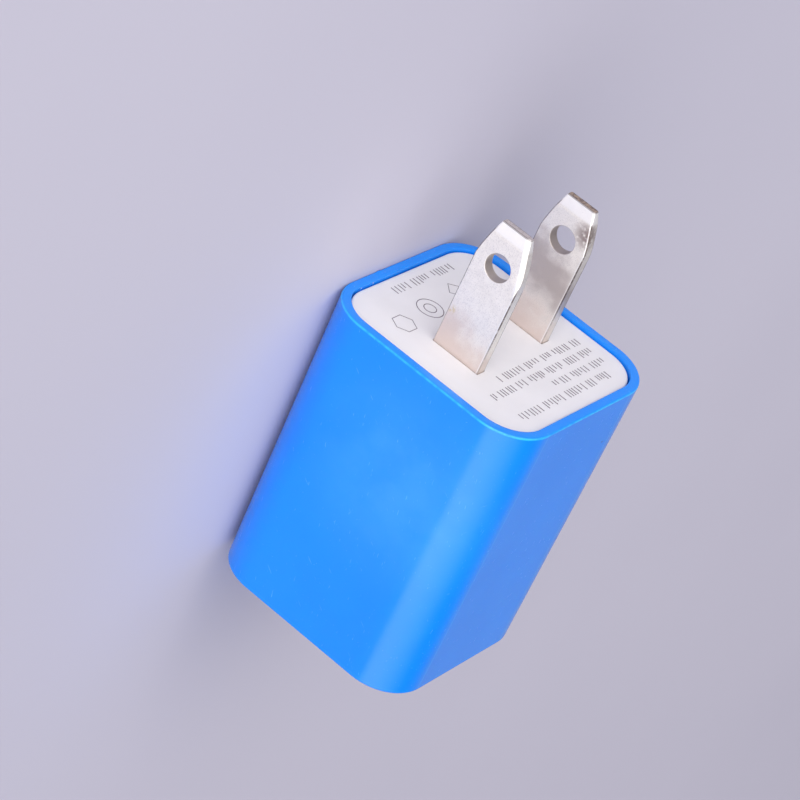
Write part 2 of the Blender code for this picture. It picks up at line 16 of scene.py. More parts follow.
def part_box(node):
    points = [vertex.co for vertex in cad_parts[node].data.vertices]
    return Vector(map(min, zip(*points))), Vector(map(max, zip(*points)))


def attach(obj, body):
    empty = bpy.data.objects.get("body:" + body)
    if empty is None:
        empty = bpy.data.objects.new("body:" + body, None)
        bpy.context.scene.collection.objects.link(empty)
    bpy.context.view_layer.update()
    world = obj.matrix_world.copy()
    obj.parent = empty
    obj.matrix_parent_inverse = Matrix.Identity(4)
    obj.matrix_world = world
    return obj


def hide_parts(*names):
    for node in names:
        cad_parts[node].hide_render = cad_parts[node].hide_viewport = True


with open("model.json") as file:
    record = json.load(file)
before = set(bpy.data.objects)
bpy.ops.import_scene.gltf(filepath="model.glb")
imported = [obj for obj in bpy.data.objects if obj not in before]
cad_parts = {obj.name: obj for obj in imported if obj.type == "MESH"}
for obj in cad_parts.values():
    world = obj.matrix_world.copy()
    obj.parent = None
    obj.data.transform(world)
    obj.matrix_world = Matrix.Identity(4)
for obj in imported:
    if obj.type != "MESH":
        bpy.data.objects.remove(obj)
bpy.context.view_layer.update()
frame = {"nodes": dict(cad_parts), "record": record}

MM = 0.001
BODY = "root"
SHARP_ANGLE = 32  # degrees between faces, above which an edge stays sharp
MIDWAY = 0.3  # where the middle point of a small rounded edge lies
LIP_STEPS = 5

# Casing, from the frame's own boxes where they give a size
CASING_LOW, CASING_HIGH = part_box("outer_shell")
HALF_SIDE = CASING_HIGH.x
CASING_END = CASING_LOW.y
DRAFT = 0.35 * MM
CORNER_RADIUS = 5.8 * MM
WALL = 1.15 * MM
END_WALL = 1.4 * MM
RIM_ROUND = 0.24 * MM
RIM_INNER_ROUND = 0.06 * MM
END_ROUND = 0.45 * MM
INNER_FILLET = 0.5 * MM
MOUTH_LIP = 0.22 * MM
MOUTH_LIP_POWER = 0.6
CORNER_STEPS = 18
SIDE_STEPS = 44
ROUND_STEPS = 6
DRAFT_STEPS = 12
INNER_STEPS = 3
RIM_WAVE = 0.018 * MM  # how far the rim's moulded edge wanders
RIM_WAVE_SCALE = 400
FLASH_AT = (-3.57 * MM, -14.0 * MM)
FLASH_HEIGHT = 0.13 * MM
FLASH_REACH = 0.3 * MM

# Cover
COVER_LOW, COVER_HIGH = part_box("rear_cover")
COVER_FACE = COVER_HIGH.y
COVER_BACK = COVER_LOW.y
COVER_INSET = WALL + 0.12 * MM
COVER_ROUND = 0.2 * MM
PLATE_THICKNESS = 1.9 * MM
SKIRT_WALL = 1.2 * MM
BOSS_WALL = 1.1 * MM
BOSS_OVERLAP = 0.3 * MM
SLOT_GAP = 0.06 * MM
SLOT_LIP = 0.05 * MM
SLOT_LIP_SHARE = 0.45
COVER_SIDE_STEPS = 4
POCKET_CORNER_STEPS = 8

# Blades
BLADE_LOW, BLADE_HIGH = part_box("blade_right")
BLADE_X = (BLADE_LOW.x + BLADE_HIGH.x) / 2
BLADE_HALF_THICKNESS = (BLADE_HIGH.x - BLADE_LOW.x) / 2
BLADE_HALF_WIDTH = BLADE_HIGH.z
BLADE_TIP = BLADE_HIGH.y
BLADE_TAIL = BLADE_LOW.y
TAIL_HALF_WIDTH = 1.6 * MM
SHOULDER = (-4.7 * MM, -4.2 * MM)
BLADE_IN_COVER = -2 * MM
TAPER_START = 11.5 * MM
TAPER_POWER = 1.3
TIP_HALF_WIDTH = 1.9 * MM
TIP_HALF_THICKNESS = 0.4 * MM
COIN_LENGTH = 1.7 * MM
SIDE_BEVEL = 0.42 * MM
SIDE_BEVEL_DEPTH = 0.2 * MM
BEVEL_START = 9.6 * MM
BEVEL_FULL = TAPER_START + 1.5 * MM
FAINT_BEVEL = 0.22  # the right blade's bevel, as a share of the left one's
TIP_BEVEL_LOSS = 0.55
EDGE_ROUND = 0.05 * MM
EASE = 0.02 * MM
EASE_REACH = 0.12 * MM
HOLE_RADIUS = 1.6 * MM
HOLE_HEIGHT = 11.7 * MM
HOLE_LIP = 0.07 * MM
HOLE_LIP_SHARE = 0.4
HOLE_STEPS = 64
BLADE_RING_STEP = 0.4 * MM
COIN_RINGS = 5
BLADE_SHARP_ANGLE = 24

# Sockets
PORT_HALF_WIDTH = 6.25 * MM
PORT_HALF_HEIGHT = 2.56 * MM
PORT_HEIGHTS = (4 * MM, -4 * MM)
MOUTH_CLEARANCE = 0.25 * MM
MOUTH_CORNER = 0.5 * MM
SHIELD_LOW, SHIELD_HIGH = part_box("usb_shield")
HOUSING_LOW, HOUSING_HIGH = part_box("usb_housing")
SHEET = 0.3 * MM
SHEET_ROUND = 0.1 * MM
SHIELD_CORNER = 0.6 * MM
CELL_CORNER = 0.35 * MM
LEAF_X = (-3.1 * MM, 3.1 * MM)
LEAF_HALF_WIDTH = 0.8 * MM
LEAF_SPAN = (-35.4 * MM, -30.2 * MM)
LEAF_RISE = 0.32 * MM
LEAF_SHEET = 0.2 * MM
LEAF_SINK = 0.05 * MM
LEAF_BOW_POWER = 1.5
LEAF_STEPS = 12
HOUSING_GAP = SHEET
HOUSING_ROUND = 0.12 * MM
BAR_ROUND = 0.1 * MM
TONGUE_HALF_WIDTH = 5.55 * MM
TONGUE_THICKNESS = 1.84 * MM
TONGUE_FRONT = -35.2 * MM
TONGUE_ROUND = 0.3 * MM

# Board rails inside the casing
RAIL_REACH = 11.5 * MM
RAIL_HEIGHT = 0.7 * MM
RAIL_LEVELS = (-6.9 * MM, -9.4 * MM)
RAIL_BACK = -6.8 * MM

# Patterns of the parts inside, in millimetres
WIRE_PITCH = 0.3
TRACK_PITCH = 1.27
CANS = ((7.4, -13.2), (7.4, -20.8))
CAN_TOP_RADIUS = 2.6
INPUT_CAN_TOP = 4.8
OUTPUT_CAN_TOP = 1.8
RESISTOR_MIDDLE = -4.0
RESISTOR_REACH = 3.0
RESISTOR_BANDS = (-5.6, -4.7, -3.8, -2.7)
TAPE_PITCH = 2.8

# Marks on the casing and the blades, and where the casing's painted sheen lies, in millimetres
PAINTED_SHEEN_AT = (-14.0, -13.0, 4.0)
PAINTED_SHEEN_RADIUS = 8.5
NICKS = ((-5.8, -0.25, -12.98), (-8.0, -0.3, -12.98))
NICK_RADIUS = 0.08
SPECKS = ((-14.1, -7.0, 12.7), (7.25, -6.7, 14.1), (-14.0, -30.5, 11.9))
SPECK_RADIUS = 0.12
SMUDGE_AT = (5.65, 13.8, 2.35)
SMUDGE_RADIUS = 1.25
SCUFF_AT = (-7.05, 4.2, -2.75)
SCUFF_RADIUS = 0.45
TIP_BAND = (15.0, 15.35)

# Hairline scratches: the turn of each set, and the share of its noise that is left blank
SCRATCHES = (((0.15, 0.0, 0.1), 0.74), ((0.9, 0.5, 0.0), 0.77), ((-0.7, 0.2, 0.6), 0.77))

# Colours, each as the two shades that its material wanders between
AZURE = ((0.001, 0.236, 0.9), (0.002, 0.25, 0.94))
COVER_WHITE = ((0.79, 0.78, 0.785), (0.825, 0.815, 0.82))
INK_GREY = ((0.10, 0.075, 0.095), (0.27, 0.23, 0.26))
NICKEL = ((0.95, 0.915, 0.855), (1.0, 0.965, 0.905))
TIN = ((0.58, 0.58, 0.6), (0.76, 0.76, 0.77))
SOCKET_WHITE = ((0.74, 0.74, 0.73), (0.83, 0.83, 0.82))
FLOOR_GREY = ((0.545, 0.53, 0.625), (0.56, 0.545, 0.64))

# The print on the cover: rows of short upright strokes, as start X, end X, Z and height
PRINT_ROWS = (
    (8.95 * MM, -8.9 * MM, 10.45 * MM, 1.1 * MM),
    (10.6 * MM, 0.8 * MM, 8.55 * MM, 0.98 * MM),
    (10.6 * MM, -9.1 * MM, 6.72 * MM, 1.02 * MM),
    (10.5 * MM, -5.2 * MM, 4.95 * MM, 1.0 * MM),
    (6.75 * MM, -5.25 * MM, -11.05 * MM, 1.12 * MM),
)
PRINT_HEIGHT = 0.012 * MM
PRINT_SINK = 0.02 * MM
PRINT_SEED = 7
STROKE = 0.13 * MM
STROKES_IN_GROUP = (3, 7)
STROKE_HEIGHTS = (1.0, 1.0, 0.72)
STROKE_SPACING = (0.38, 0.64)
GROUP_GAP = 0.5

# Plain outlines on the cover: middle, radius and number of sides
OUTLINE_STROKE = 0.1 * MM
OUTLINES = (
    ((-2.55 * MM, -7.05 * MM), 1.65 * MM, 40),
    ((-2.55 * MM, -7.05 * MM), 0.8 * MM, 40),
    ((3.55 * MM, -7.9 * MM), 1.25 * MM, 4),
    ((-8.0 * MM, -6.6 * MM), 1.5 * MM, 6),
)

# View and light
CAMERA_AT = Vector((-0.302995, 0.195006, 0.125732))
CAMERA_LOOK = Vector((0.77441, -0.53447, -0.33856))
CAMERA_UP = Vector((0.27054, 0.76348, -0.58643))
CAMERA_LENS = 158.3
CAMERA_SENSOR = 36
CAMERA_CLIP = (0.01, 20.0)
FLOOR_HALF = 2.0

# Lights: name, direction, distance, size, energy and colour
LIGHTS = (
    ("key", (-0.55, 0.66, 0.52), 1.1, 1.4, 13.2, (1.0, 0.99, 0.98)),
    ("fill", (0.2, 0.5, 0.9), 1.3, 0.9, 2.6, (0.98, 0.98, 1.0)),
)
WORLD_STRENGTH = 0.62
WORLD_LOW = (0.72, 0.69, 0.79, 1)
WORLD_MIDDLE = (0.68, 0.65, 0.76, 1)
WORLD_TOP = (0.22, 0.21, 0.25, 1)
MIDDLE_STOP = 0.42
TOP_STOP = 0.72
GLOW_TOWARDS = (-0.85, -0.48, 0.12)
GLOW_FROM = 0.2
GLOW_STRENGTH = 2.5
GLOW_COLOUR = (1.0, 0.99, 0.98)
GLOW_LIFT = (-0.12, 0.22)


# Meshes


def new_object(name, bm):
    mesh = bpy.data.meshes.new(name)
    bm.to_mesh(mesh)
    bm.free()
    obj = bpy.data.objects.new(name, mesh)
    bpy.context.scene.collection.objects.link(obj)
    return obj


def outline(half_x, half_z, corner, corner_steps, side_steps=1):
    """Points round a rounded rectangle, anticlockwise from the start of its first corner."""
    arcs = []
    for index, (side_x, side_z) in enumerate(((1, 1), (-1, 1), (-1, -1), (1, -1))):
        centre = Vector((side_x * (half_x - corner), side_z * (half_z - corner)))
        arc = []
        for step in range(corner_steps + 1):
            angle = math.pi / 2 * (index + step / corner_steps)
            arc.append(centre + corner * Vector((math.cos(angle), math.sin(angle))))
        arcs.append(arc)
    points = []
    for arc, following in zip(arcs, arcs[1:] + arcs[:1]):
        points += arc
        for step in range(1, side_steps):
            points.append(arc[-1].lerp(following[0], step / side_steps))
    return points


def circle(radius, steps):
    angles = [2 * math.pi * step / steps for step in range(steps)]
    return [Vector((radius * math.cos(angle), radius * math.sin(angle))) for angle in angles]


def quarter_turn(steps):
    """Angles from 0 to a right angle, both included."""
    return [math.pi / 2 * step / steps for step in range(steps + 1)]


def across_y(points, y, centre=(0, 0)):
    """Flat points placed in the plane across Y, their first number along X and second along Z."""
    return [Vector((u + centre[0], y, v + centre[1])) for u, v in points]


def loft(name, rings):
    """A closed body through rings of equal length, with a flat cap on each end."""
    bm = bmesh.new()
    rows = [[bm.verts.new(point) for point in ring] for ring in rings]
    count = len(rows[0])
    for row, following in zip(rows, rows[1:]):
        for index in range(count):
            after = (index + 1) % count
            bm.faces.new((row[index], row[after], following[after], following[index]))
    bm.faces.new(rows[0])
    bm.faces.new(rows[-1])
    bmesh.ops.recalc_face_normals(bm, faces=bm.faces)
    return new_object(name, bm)


def block(name, low, high, rounding=0.0, segments=3):
    """A box with all its edges rounded, or sharp where no rounding is given."""
    low, high = Vector(low), Vector(high)
    bm = bmesh.new()
    scale = Matrix.Diagonal((high - low).to_4d())
    bmesh.ops.create_cube(bm, size=1.0, matrix=Matrix.Translation((low + high) / 2) @ scale)
    if rounding:
        bmesh.ops.bevel(
            bm,
            geom=list(bm.edges),
            offset=rounding,
            segments=segments,
            profile=0.5,
            affect="EDGES",
        )
    return new_object(name, bm)


def apply_modifiers(obj):
    bpy.context.view_layer.update()
    graph = bpy.context.evaluated_depsgraph_get()
    mesh = bpy.data.meshes.new_from_object(obj.evaluated_get(graph), depsgraph=graph)
    obj.modifiers.clear()
    obj.data = mesh


def combine(obj, operation, others):
    """A Boolean with each of the others, which are then removed."""
    for other in others:
        modifier = obj.modifiers.new(operation, "BOOLEAN")
        modifier.operation = operation
        modifier.solver = "EXACT"
        modifier.object = other
    apply_modifiers(obj)
    for other in others:
        bpy.data.objects.remove(other, do_unlink=True)


def shade(obj, degrees=SHARP_ANGLE):
    """Smooth shading that keeps flat faces flat and edges sharper than this angle sharp."""
    obj.data.shade_smooth()
    obj.data.set_sharp_from_angle(angle=math.radians(degrees))
    modifier = obj.modifiers.new("weighted_normals", "WEIGHTED_NORMAL")
    modifier.keep_sharp = True
    modifier.weight = 100
    apply_modifiers(obj)


def dress(obj, material, slot, *nodes):
    """Gives a piece its material and its body, and hides the nodes it stands for. The slot is not
    used.
    """
    obj.data.materials.clear()
    obj.data.materials.append(material)
    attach(obj, BODY)
    if nodes:
        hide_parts(*nodes)


# Casing


def casing_ring(y, inset, corner_steps=CORNER_STEPS, side_steps=SIDE_STEPS):
    half = HALF_SIDE - DRAFT * y / CASING_END - inset
    return across_y(outline(half, half, CORNER_RADIUS - inset, corner_steps, side_steps), y)


def casing_profile():
    """(Y, inset) points from the socket end, up the outside, over the rim and down the inside."""
    end, inner_end = CASING_END, CASING_END + END_WALL
    points = [(end, END_ROUND)]
    for angle in quarter_turn(ROUND_STEPS)[1:-1]:
        points.append((end + END_ROUND * (1 - math.cos(angle)), END_ROUND * (1 - math.sin(angle))))
    for step in range(DRAFT_STEPS + 1):
        share = step / DRAFT_STEPS
        points.append((end + END_ROUND + share * (-RIM_ROUND - end - END_ROUND), 0.0))
    for angle in quarter_turn(ROUND_STEPS)[1:-1]:
        points.append((-RIM_ROUND * (1 - math.sin(angle)), RIM_ROUND * (1 - math.cos(angle))))
    points.append((0.0, RIM_ROUND))
    inner = WALL - RIM_INNER_ROUND
    points.append((0.0, (RIM_ROUND + inner) / 2))
    for angle in quarter_turn(INNER_STEPS):
        y = -RIM_INNER_ROUND * (1 - math.cos(angle))
        points.append((y, inner + RIM_INNER_ROUND * math.sin(angle)))
    points.append((inner_end + INNER_FILLET, WALL))
    for angle in quarter_turn(INNER_STEPS)[1:]:
        inset = WALL + INNER_FILLET * (1 - math.cos(angle))
        points.append((inner_end + INNER_FILLET * (1 - math.sin(angle)), inset))
    return points


def mouth_cutter(name, height):
    """The hole for a plug in the end wall, with a lip rounded outwards."""
    half_x, half_z = PORT_HALF_WIDTH + MOUTH_CLEARANCE, PORT_HALF_HEIGHT + MOUTH_CLEARANCE
    stages = [(CASING_END - END_WALL, MOUTH_LIP)]
    for angle in quarter_turn(LIP_STEPS):
        grow = MOUTH_LIP * (1 - math.sin(angle) ** MOUTH_LIP_POWER)
        stages.append((CASING_END + MOUTH_LIP * math.sin(angle), grow))
    stages.append((CASING_END + 2 * END_WALL, 0.0))
    rings = []
    for y, grow in stages:
        points = outline(half_x + grow, half_z + grow, MOUTH_CORNER + grow, 5)
        rings.append(across_y(points, y, (0, height)))
    return loft(name, rings)


def roughen_rim(obj):
    """The moulded rim wanders by a hair along its edge, with one bead of flash on the outside."""
    flash = Vector(FLASH_AT)
    for vert in obj.data.vertices:
        if vert.co.y < -1.5 * RIM_ROUND:
            continue
        place = Vector((vert.co.x, vert.co.z))
        wander = noise.noise(Vector((place.x, place.y, 0)) * RIM_WAVE_SCALE)
        vert.co.y += RIM_WAVE * (wander - 1) / 2
        distance = (place - flash).length
        vert.co.y += FLASH_HEIGHT * math.exp(-((distance / FLASH_REACH) ** 2))


def make_casing():
    casing = loft("casing_skin", [casing_ring(y, inset) for y, inset in casing_profile()])
    roughen_rim(casing)
    rails = []
    start = CASING_END + END_WALL / 2
    outer = HALF_SIDE - DRAFT - WALL / 2
    for side in (-1, 1):
        near, far = sorted((side * RAIL_REACH, side * outer))
        for level in RAIL_LEVELS:
            high = (far, RAIL_BACK, level + RAIL_HEIGHT)
            rails.append(block("rail", (near, start, level), high))
    combine(casing, "UNION", rails)
    combine(casing, "DIFFERENCE", [mouth_cutter("mouth", height) for height in PORT_HEIGHTS])
    shade(casing)
    dress(casing, casing_plastic(), "casing_plastic", "outer_shell")


# Cover


def slot_cutter(x):
    """The slot that a blade stands in, a hair wider than the blade and with a small lip."""
    half_x, half_z = BLADE_HALF_THICKNESS + SLOT_GAP, BLADE_HALF_WIDTH + SLOT_GAP
    rings = []
    for y, grow in (
        (COVER_FACE + WALL, SLOT_LIP),
        (COVER_FACE, SLOT_LIP),
        (COVER_FACE - MIDWAY * SLOT_LIP, SLOT_LIP_SHARE * SLOT_LIP),
        (COVER_FACE - SLOT_LIP, 0.0),
        (COVER_BACK - WALL, 0.0),
    ):
        points = outline(half_x + grow, half_z + grow, SLOT_GAP + grow, 3)
        rings.append(across_y(points, y, (x, 0)))
    return loft("slot", rings)


def make_cover():
    """The plate with its skirt, hollow behind, and a boss round each blade."""
    profile = [(COVER_BACK, COVER_INSET + COVER_ROUND), (COVER_BACK + COVER_ROUND, COVER_INSET)]
    profile.append((COVER_BACK / 2, COVER_INSET))
    for angle in quarter_turn(LIP_STEPS):
        y = COVER_FACE - COVER_ROUND * (1 - math.sin(angle))
        profile.append((y, COVER_INSET + COVER_ROUND * (1 - math.cos(angle))))
    rings = [casing_ring(y, inset, side_steps=COVER_SIDE_STEPS) for y, inset in profile]
    cover = loft("cover_skin", rings)
    inset = COVER_INSET + SKIRT_WALL
    plate_back = COVER_FACE - PLATE_THICKNESS
    depths = (COVER_BACK - WALL, plate_back)
    pocket = [casing_ring(y, inset, POCKET_CORNER_STEPS, 1) for y in depths]
    combine(cover, "DIFFERENCE", [loft("pocket", pocket)])
    bosses = []
    reach_x, reach_z = BLADE_HALF_THICKNESS + BOSS_WALL, BLADE_HALF_WIDTH + BOSS_WALL
    for x in (-BLADE_X, BLADE_X):
        low = (x - reach_x, COVER_BACK, -reach_z)
        bosses.append(block("boss", low, (x + reach_x, plate_back + BOSS_OVERLAP, reach_z)))
    combine(cover, "UNION", bosses)
    combine(cover, "DIFFERENCE", [slot_cutter(x) for x in (-BLADE_X, BLADE_X)])
    shade(cover)
    dress(cover, cover_plastic(), "cover_plastic", "rear_cover")


# Print on the cover


def add_bar(bm, low_x, high_x, low_z, high_z):
    """One bar of ink, sunk a little into the cover."""
    low = Vector((low_x, COVER_FACE - PRINT_SINK, low_z))
    high = Vector((high_x, COVER_FACE + PRINT_HEIGHT, high_z))
    scale = Matrix.Diagonal((high - low).to_4d())
    bmesh.ops.create_cube(bm, size=1.0, matrix=Matrix.Translation((low + high) / 2) @ scale)


def add_row(bm, start, end, middle, height, chance):
    """Strokes in groups of uneven length, with no letters in them."""
    x = start
    foot = middle - height / 2
    while x > end + STROKE:
        for _ in range(chance.randint(*STROKES_IN_GROUP)):
            if x < end + STROKE:
                break
            tall = height * chance.choice(STROKE_HEIGHTS)
            add_bar(bm, x - STROKE, x, foot, foot + tall)
            x -= chance.uniform(*STROKE_SPACING) * height
        x -= GROUP_GAP * height


def add_outline(bm, points):
    """A closed line of ink along a convex outline of (X, Z) points."""
    middle = sum(points, Vector((0, 0))) / len(points)
    rings = []
    for y in (COVER_FACE - PRINT_SINK, COVER_FACE + PRINT_HEIGHT):
        for shrink in (0.0, OUTLINE_STROKE):
            ring = []
            for point in points:
                inwards = (middle - point).normalized()
                u, v = point + inwards * shrink
                ring.append(bm.verts.new((u, y, v)))
            rings.append(ring)
    low_out, low_in, high_out, high_in = rings
    around = (low_out, high_out, high_in, low_in, low_out)
    count = len(points)
    for first, second in zip(around, around[1:]):
        for index in range(count):
            after = (index + 1) % count
            bm.faces.new((first[index], first[after], second[after], second[index]))


def make_print():
    bm = bmesh.new()
    chance = random.Random(PRINT_SEED)
    for start, end, middle, height in PRINT_ROWS:
        add_row(bm, start, end, middle, height, chance)
    for centre, radius, sides in OUTLINES:
        add_outline(bm, [Vector(centre) + point for point in circle(radius, sides)])
    bmesh.ops.recalc_face_normals(bm, faces=bm.faces)
    ink = new_object("cover_print", bm)
    dress(ink, print_ink(), "cover_plastic")


# Blades


def smoothstep(low, high, value):
    """0 below low, 1 above high, and a smooth climb between them."""
    share = min(1.0, max(0.0, (value - low) / (high - low)))
    return share * share * (3 - 2 * share)


def blade_ring(x, y):
    """One section across a blade: flat faces, narrow rounded edges and a bevel on the +Z side."""
    taper = max(0.0, (y - TAPER_START) / (BLADE_TIP - TAPER_START))
    half_width = BLADE_HALF_WIDTH - (BLADE_HALF_WIDTH - TIP_HALF_WIDTH) * taper**TAPER_POWER
    if y <= SHOULDER[0]:
        half_width = TAIL_HALF_WIDTH
    coin = max(0.0, (y - BLADE_TIP + COIN_LENGTH) / COIN_LENGTH)
    half = BLADE_HALF_THICKNESS - (BLADE_HALF_THICKNESS - TIP_HALF_THICKNESS) * coin
    bevel = smoothstep(BEVEL_START, BEVEL_FULL, y) * (FAINT_BEVEL if x > 0 else 1.0)
    end = smoothstep(BLADE_TIP - EDGE_ROUND, BLADE_TIP, y) * EDGE_ROUND / 2
    half -= end
    half_width -= end
    quarters = []
    for share in (bevel, 0.0):
        width = EDGE_ROUND + SIDE_BEVEL * share
        edge = half - EDGE_ROUND - SIDE_BEVEL_DEPTH * share * (1 - TIP_BEVEL_LOSS * coin)
        quarters.append(
            [
                (edge - EDGE_ROUND, half_width),
                (edge - MIDWAY * EDGE_ROUND, half_width - MIDWAY * EDGE_ROUND),
                (edge, half_width - EDGE_ROUND),
                (half - EASE, half_width - width - EASE),
                (half, half_width - width - EASE_REACH),
            ]
        )
    bevelled, plain = quarters
    points = list(bevelled)
    points += [(u, -v) for u, v in reversed(plain)]
    points += [(-u, -v) for u, v in plain]
    points += [(-u, v) for u, v in reversed(bevelled)]
    return across_y(points, y, (x, 0))


def blade_heights():
    """The heights of a blade's sections: close together where its width changes."""
    heights = [BLADE_TAIL, SHOULDER[0], SHOULDER[1], BLADE_IN_COVER, 0.0]
    while heights[-1] + BLADE_RING_STEP < BLADE_TIP - COIN_LENGTH:
        heights.append(heights[-1] + BLADE_RING_STEP)
    first = BLADE_TIP - COIN_LENGTH
    last = BLADE_TIP - EDGE_ROUND
    heights += [first + (last - first) * index / COIN_RINGS for index in range(COIN_RINGS + 1)]
    return heights + [BLADE_TIP - MIDWAY * EDGE_ROUND, BLADE_TIP]


def hole_cutter(x):
    """A round hole through a blade, whose edges the punch has drawn in a little."""
    half = BLADE_HALF_THICKNESS
    stages = [
        (-2 * half, HOLE_LIP),
        (-half, HOLE_LIP),
        (-half + MIDWAY * HOLE_LIP, HOLE_LIP_SHARE * HOLE_LIP),
        (-half + HOLE_LIP, 0.0),
    ]
    stages += [(-along, grow) for along, grow in reversed(stages)]
    rings = []
    for along, grow in stages:
        ring = []
        for u, v in circle(HOLE_RADIUS + grow, HOLE_STEPS):
            ring.append(Vector((x + along, HOLE_HEIGHT + u, v)))
        rings.append(ring)
    return loft("hole", rings)


def make_blade(name, node, x, material):
    blade = loft(name, [blade_ring(x, y) for y in blade_heights()])
    combine(blade, "DIFFERENCE", [hole_cutter(x)])
    shade(blade, BLADE_SHARP_ANGLE)
    dress(blade, material, "blade_metal", node)


# Sockets


def leaf(x, wall, inwards):
    """One sprung leaf of the shield, bowed from its wall in towards the plug."""
    rings = []
    left, right = x - LEAF_HALF_WIDTH, x + LEAF_HALF_WIDTH
    for step in range(LEAF_STEPS + 1):
        share = step / LEAF_STEPS
        y = LEAF_SPAN[0] + (LEAF_SPAN[1] - LEAF_SPAN[0]) * share
        rise = LEAF_RISE * math.sin(math.pi * share) ** LEAF_BOW_POWER - LEAF_SINK
        near, far = wall + inwards * rise, wall + inwards * (rise + LEAF_SHEET)
        ring = ((left, near), (right, near), (right, far), (left, far))
        rings.append(across_y(ring, y))
    return loft("leaf", rings)


def make_shield():
    """The sheet-metal can: a cell for each plug, one between them, and sprung leaves."""
    front = (
        (SHIELD_LOW.y, SHEET_ROUND),
        (SHIELD_LOW.y + MIDWAY * SHEET_ROUND, MIDWAY * SHEET_ROUND),
        (SHIELD_LOW.y + SHEET_ROUND, 0.0),
    )
    outer_x = PORT_HALF_WIDTH + SHEET
    outer_z = SHIELD_HIGH.z
    rings = []
    for y, inset in (*front, (SHIELD_HIGH.y, 0.0)):
        rings.append(across_y(outline(outer_x - inset, outer_z - inset, SHIELD_CORNER, 5), y))
    shield = loft("usb_shield_skin", rings)
    cells = []
    openings = [(height, PORT_HALF_HEIGHT) for height in PORT_HEIGHTS]
    openings.append((0, PORT_HEIGHTS[0] - PORT_HALF_HEIGHT - SHEET))
    for height, half_height in openings:
        stages = []
        ends = (SHIELD_LOW.y - WALL, SHEET_ROUND), (SHIELD_HIGH.y + WALL, 0.0)
        for y, grow in (ends[0], *front, ends[1]):
            points = outline(PORT_HALF_WIDTH + grow, half_height + grow, CELL_CORNER, 4)
            stages.append(across_y(points, y, (0, height)))
        cells.append(loft("cell", stages))
    combine(shield, "DIFFERENCE", cells)
    leaves = []
    for height in PORT_HEIGHTS:
        for side in (-1, 1):
            wall = height + side * PORT_HALF_HEIGHT
            leaves += [leaf(x, wall, -side) for x in LEAF_X]
    combine(shield, "UNION", leaves)
    shade(shield)
    dress(shield, tinned_steel(), "shield_metal", "usb_shield")


def make_housing():
    """The block behind the sockets, a bar between them and a tongue in each."""
    root = SHIELD_HIGH.y + 2 * HOUSING_GAP
    half_x = HOUSING_HIGH.x
    low = (-half_x, SHIELD_HIGH.y + HOUSING_GAP, HOUSING_LOW.z)
    high = (half_x, HOUSING_HIGH.y, HOUSING_HIGH.z)
    housing = block("usb_housing_skin", low, high, HOUSING_ROUND)
    bar_x = half_x - HOUSING_GAP
    bar_z = PORT_HEIGHTS[0] - PORT_HALF_HEIGHT - SHEET - HOUSING_GAP
    parts = [block("bar", (-bar_x, SHIELD_LOW.y, -bar_z), (bar_x, root, bar_z), BAR_ROUND)]
    for height in PORT_HEIGHTS:
        low = (-TONGUE_HALF_WIDTH, TONGUE_FRONT, height)
        high = (TONGUE_HALF_WIDTH, root, height + TONGUE_THICKNESS)
        parts.append(block("tongue", low, high, TONGUE_ROUND, 4))
    combine(housing, "UNION", parts)
    shade(housing)
    dress(housing, socket_plastic(), "socket_plastic", "usb_housing")


# Nodes of a material


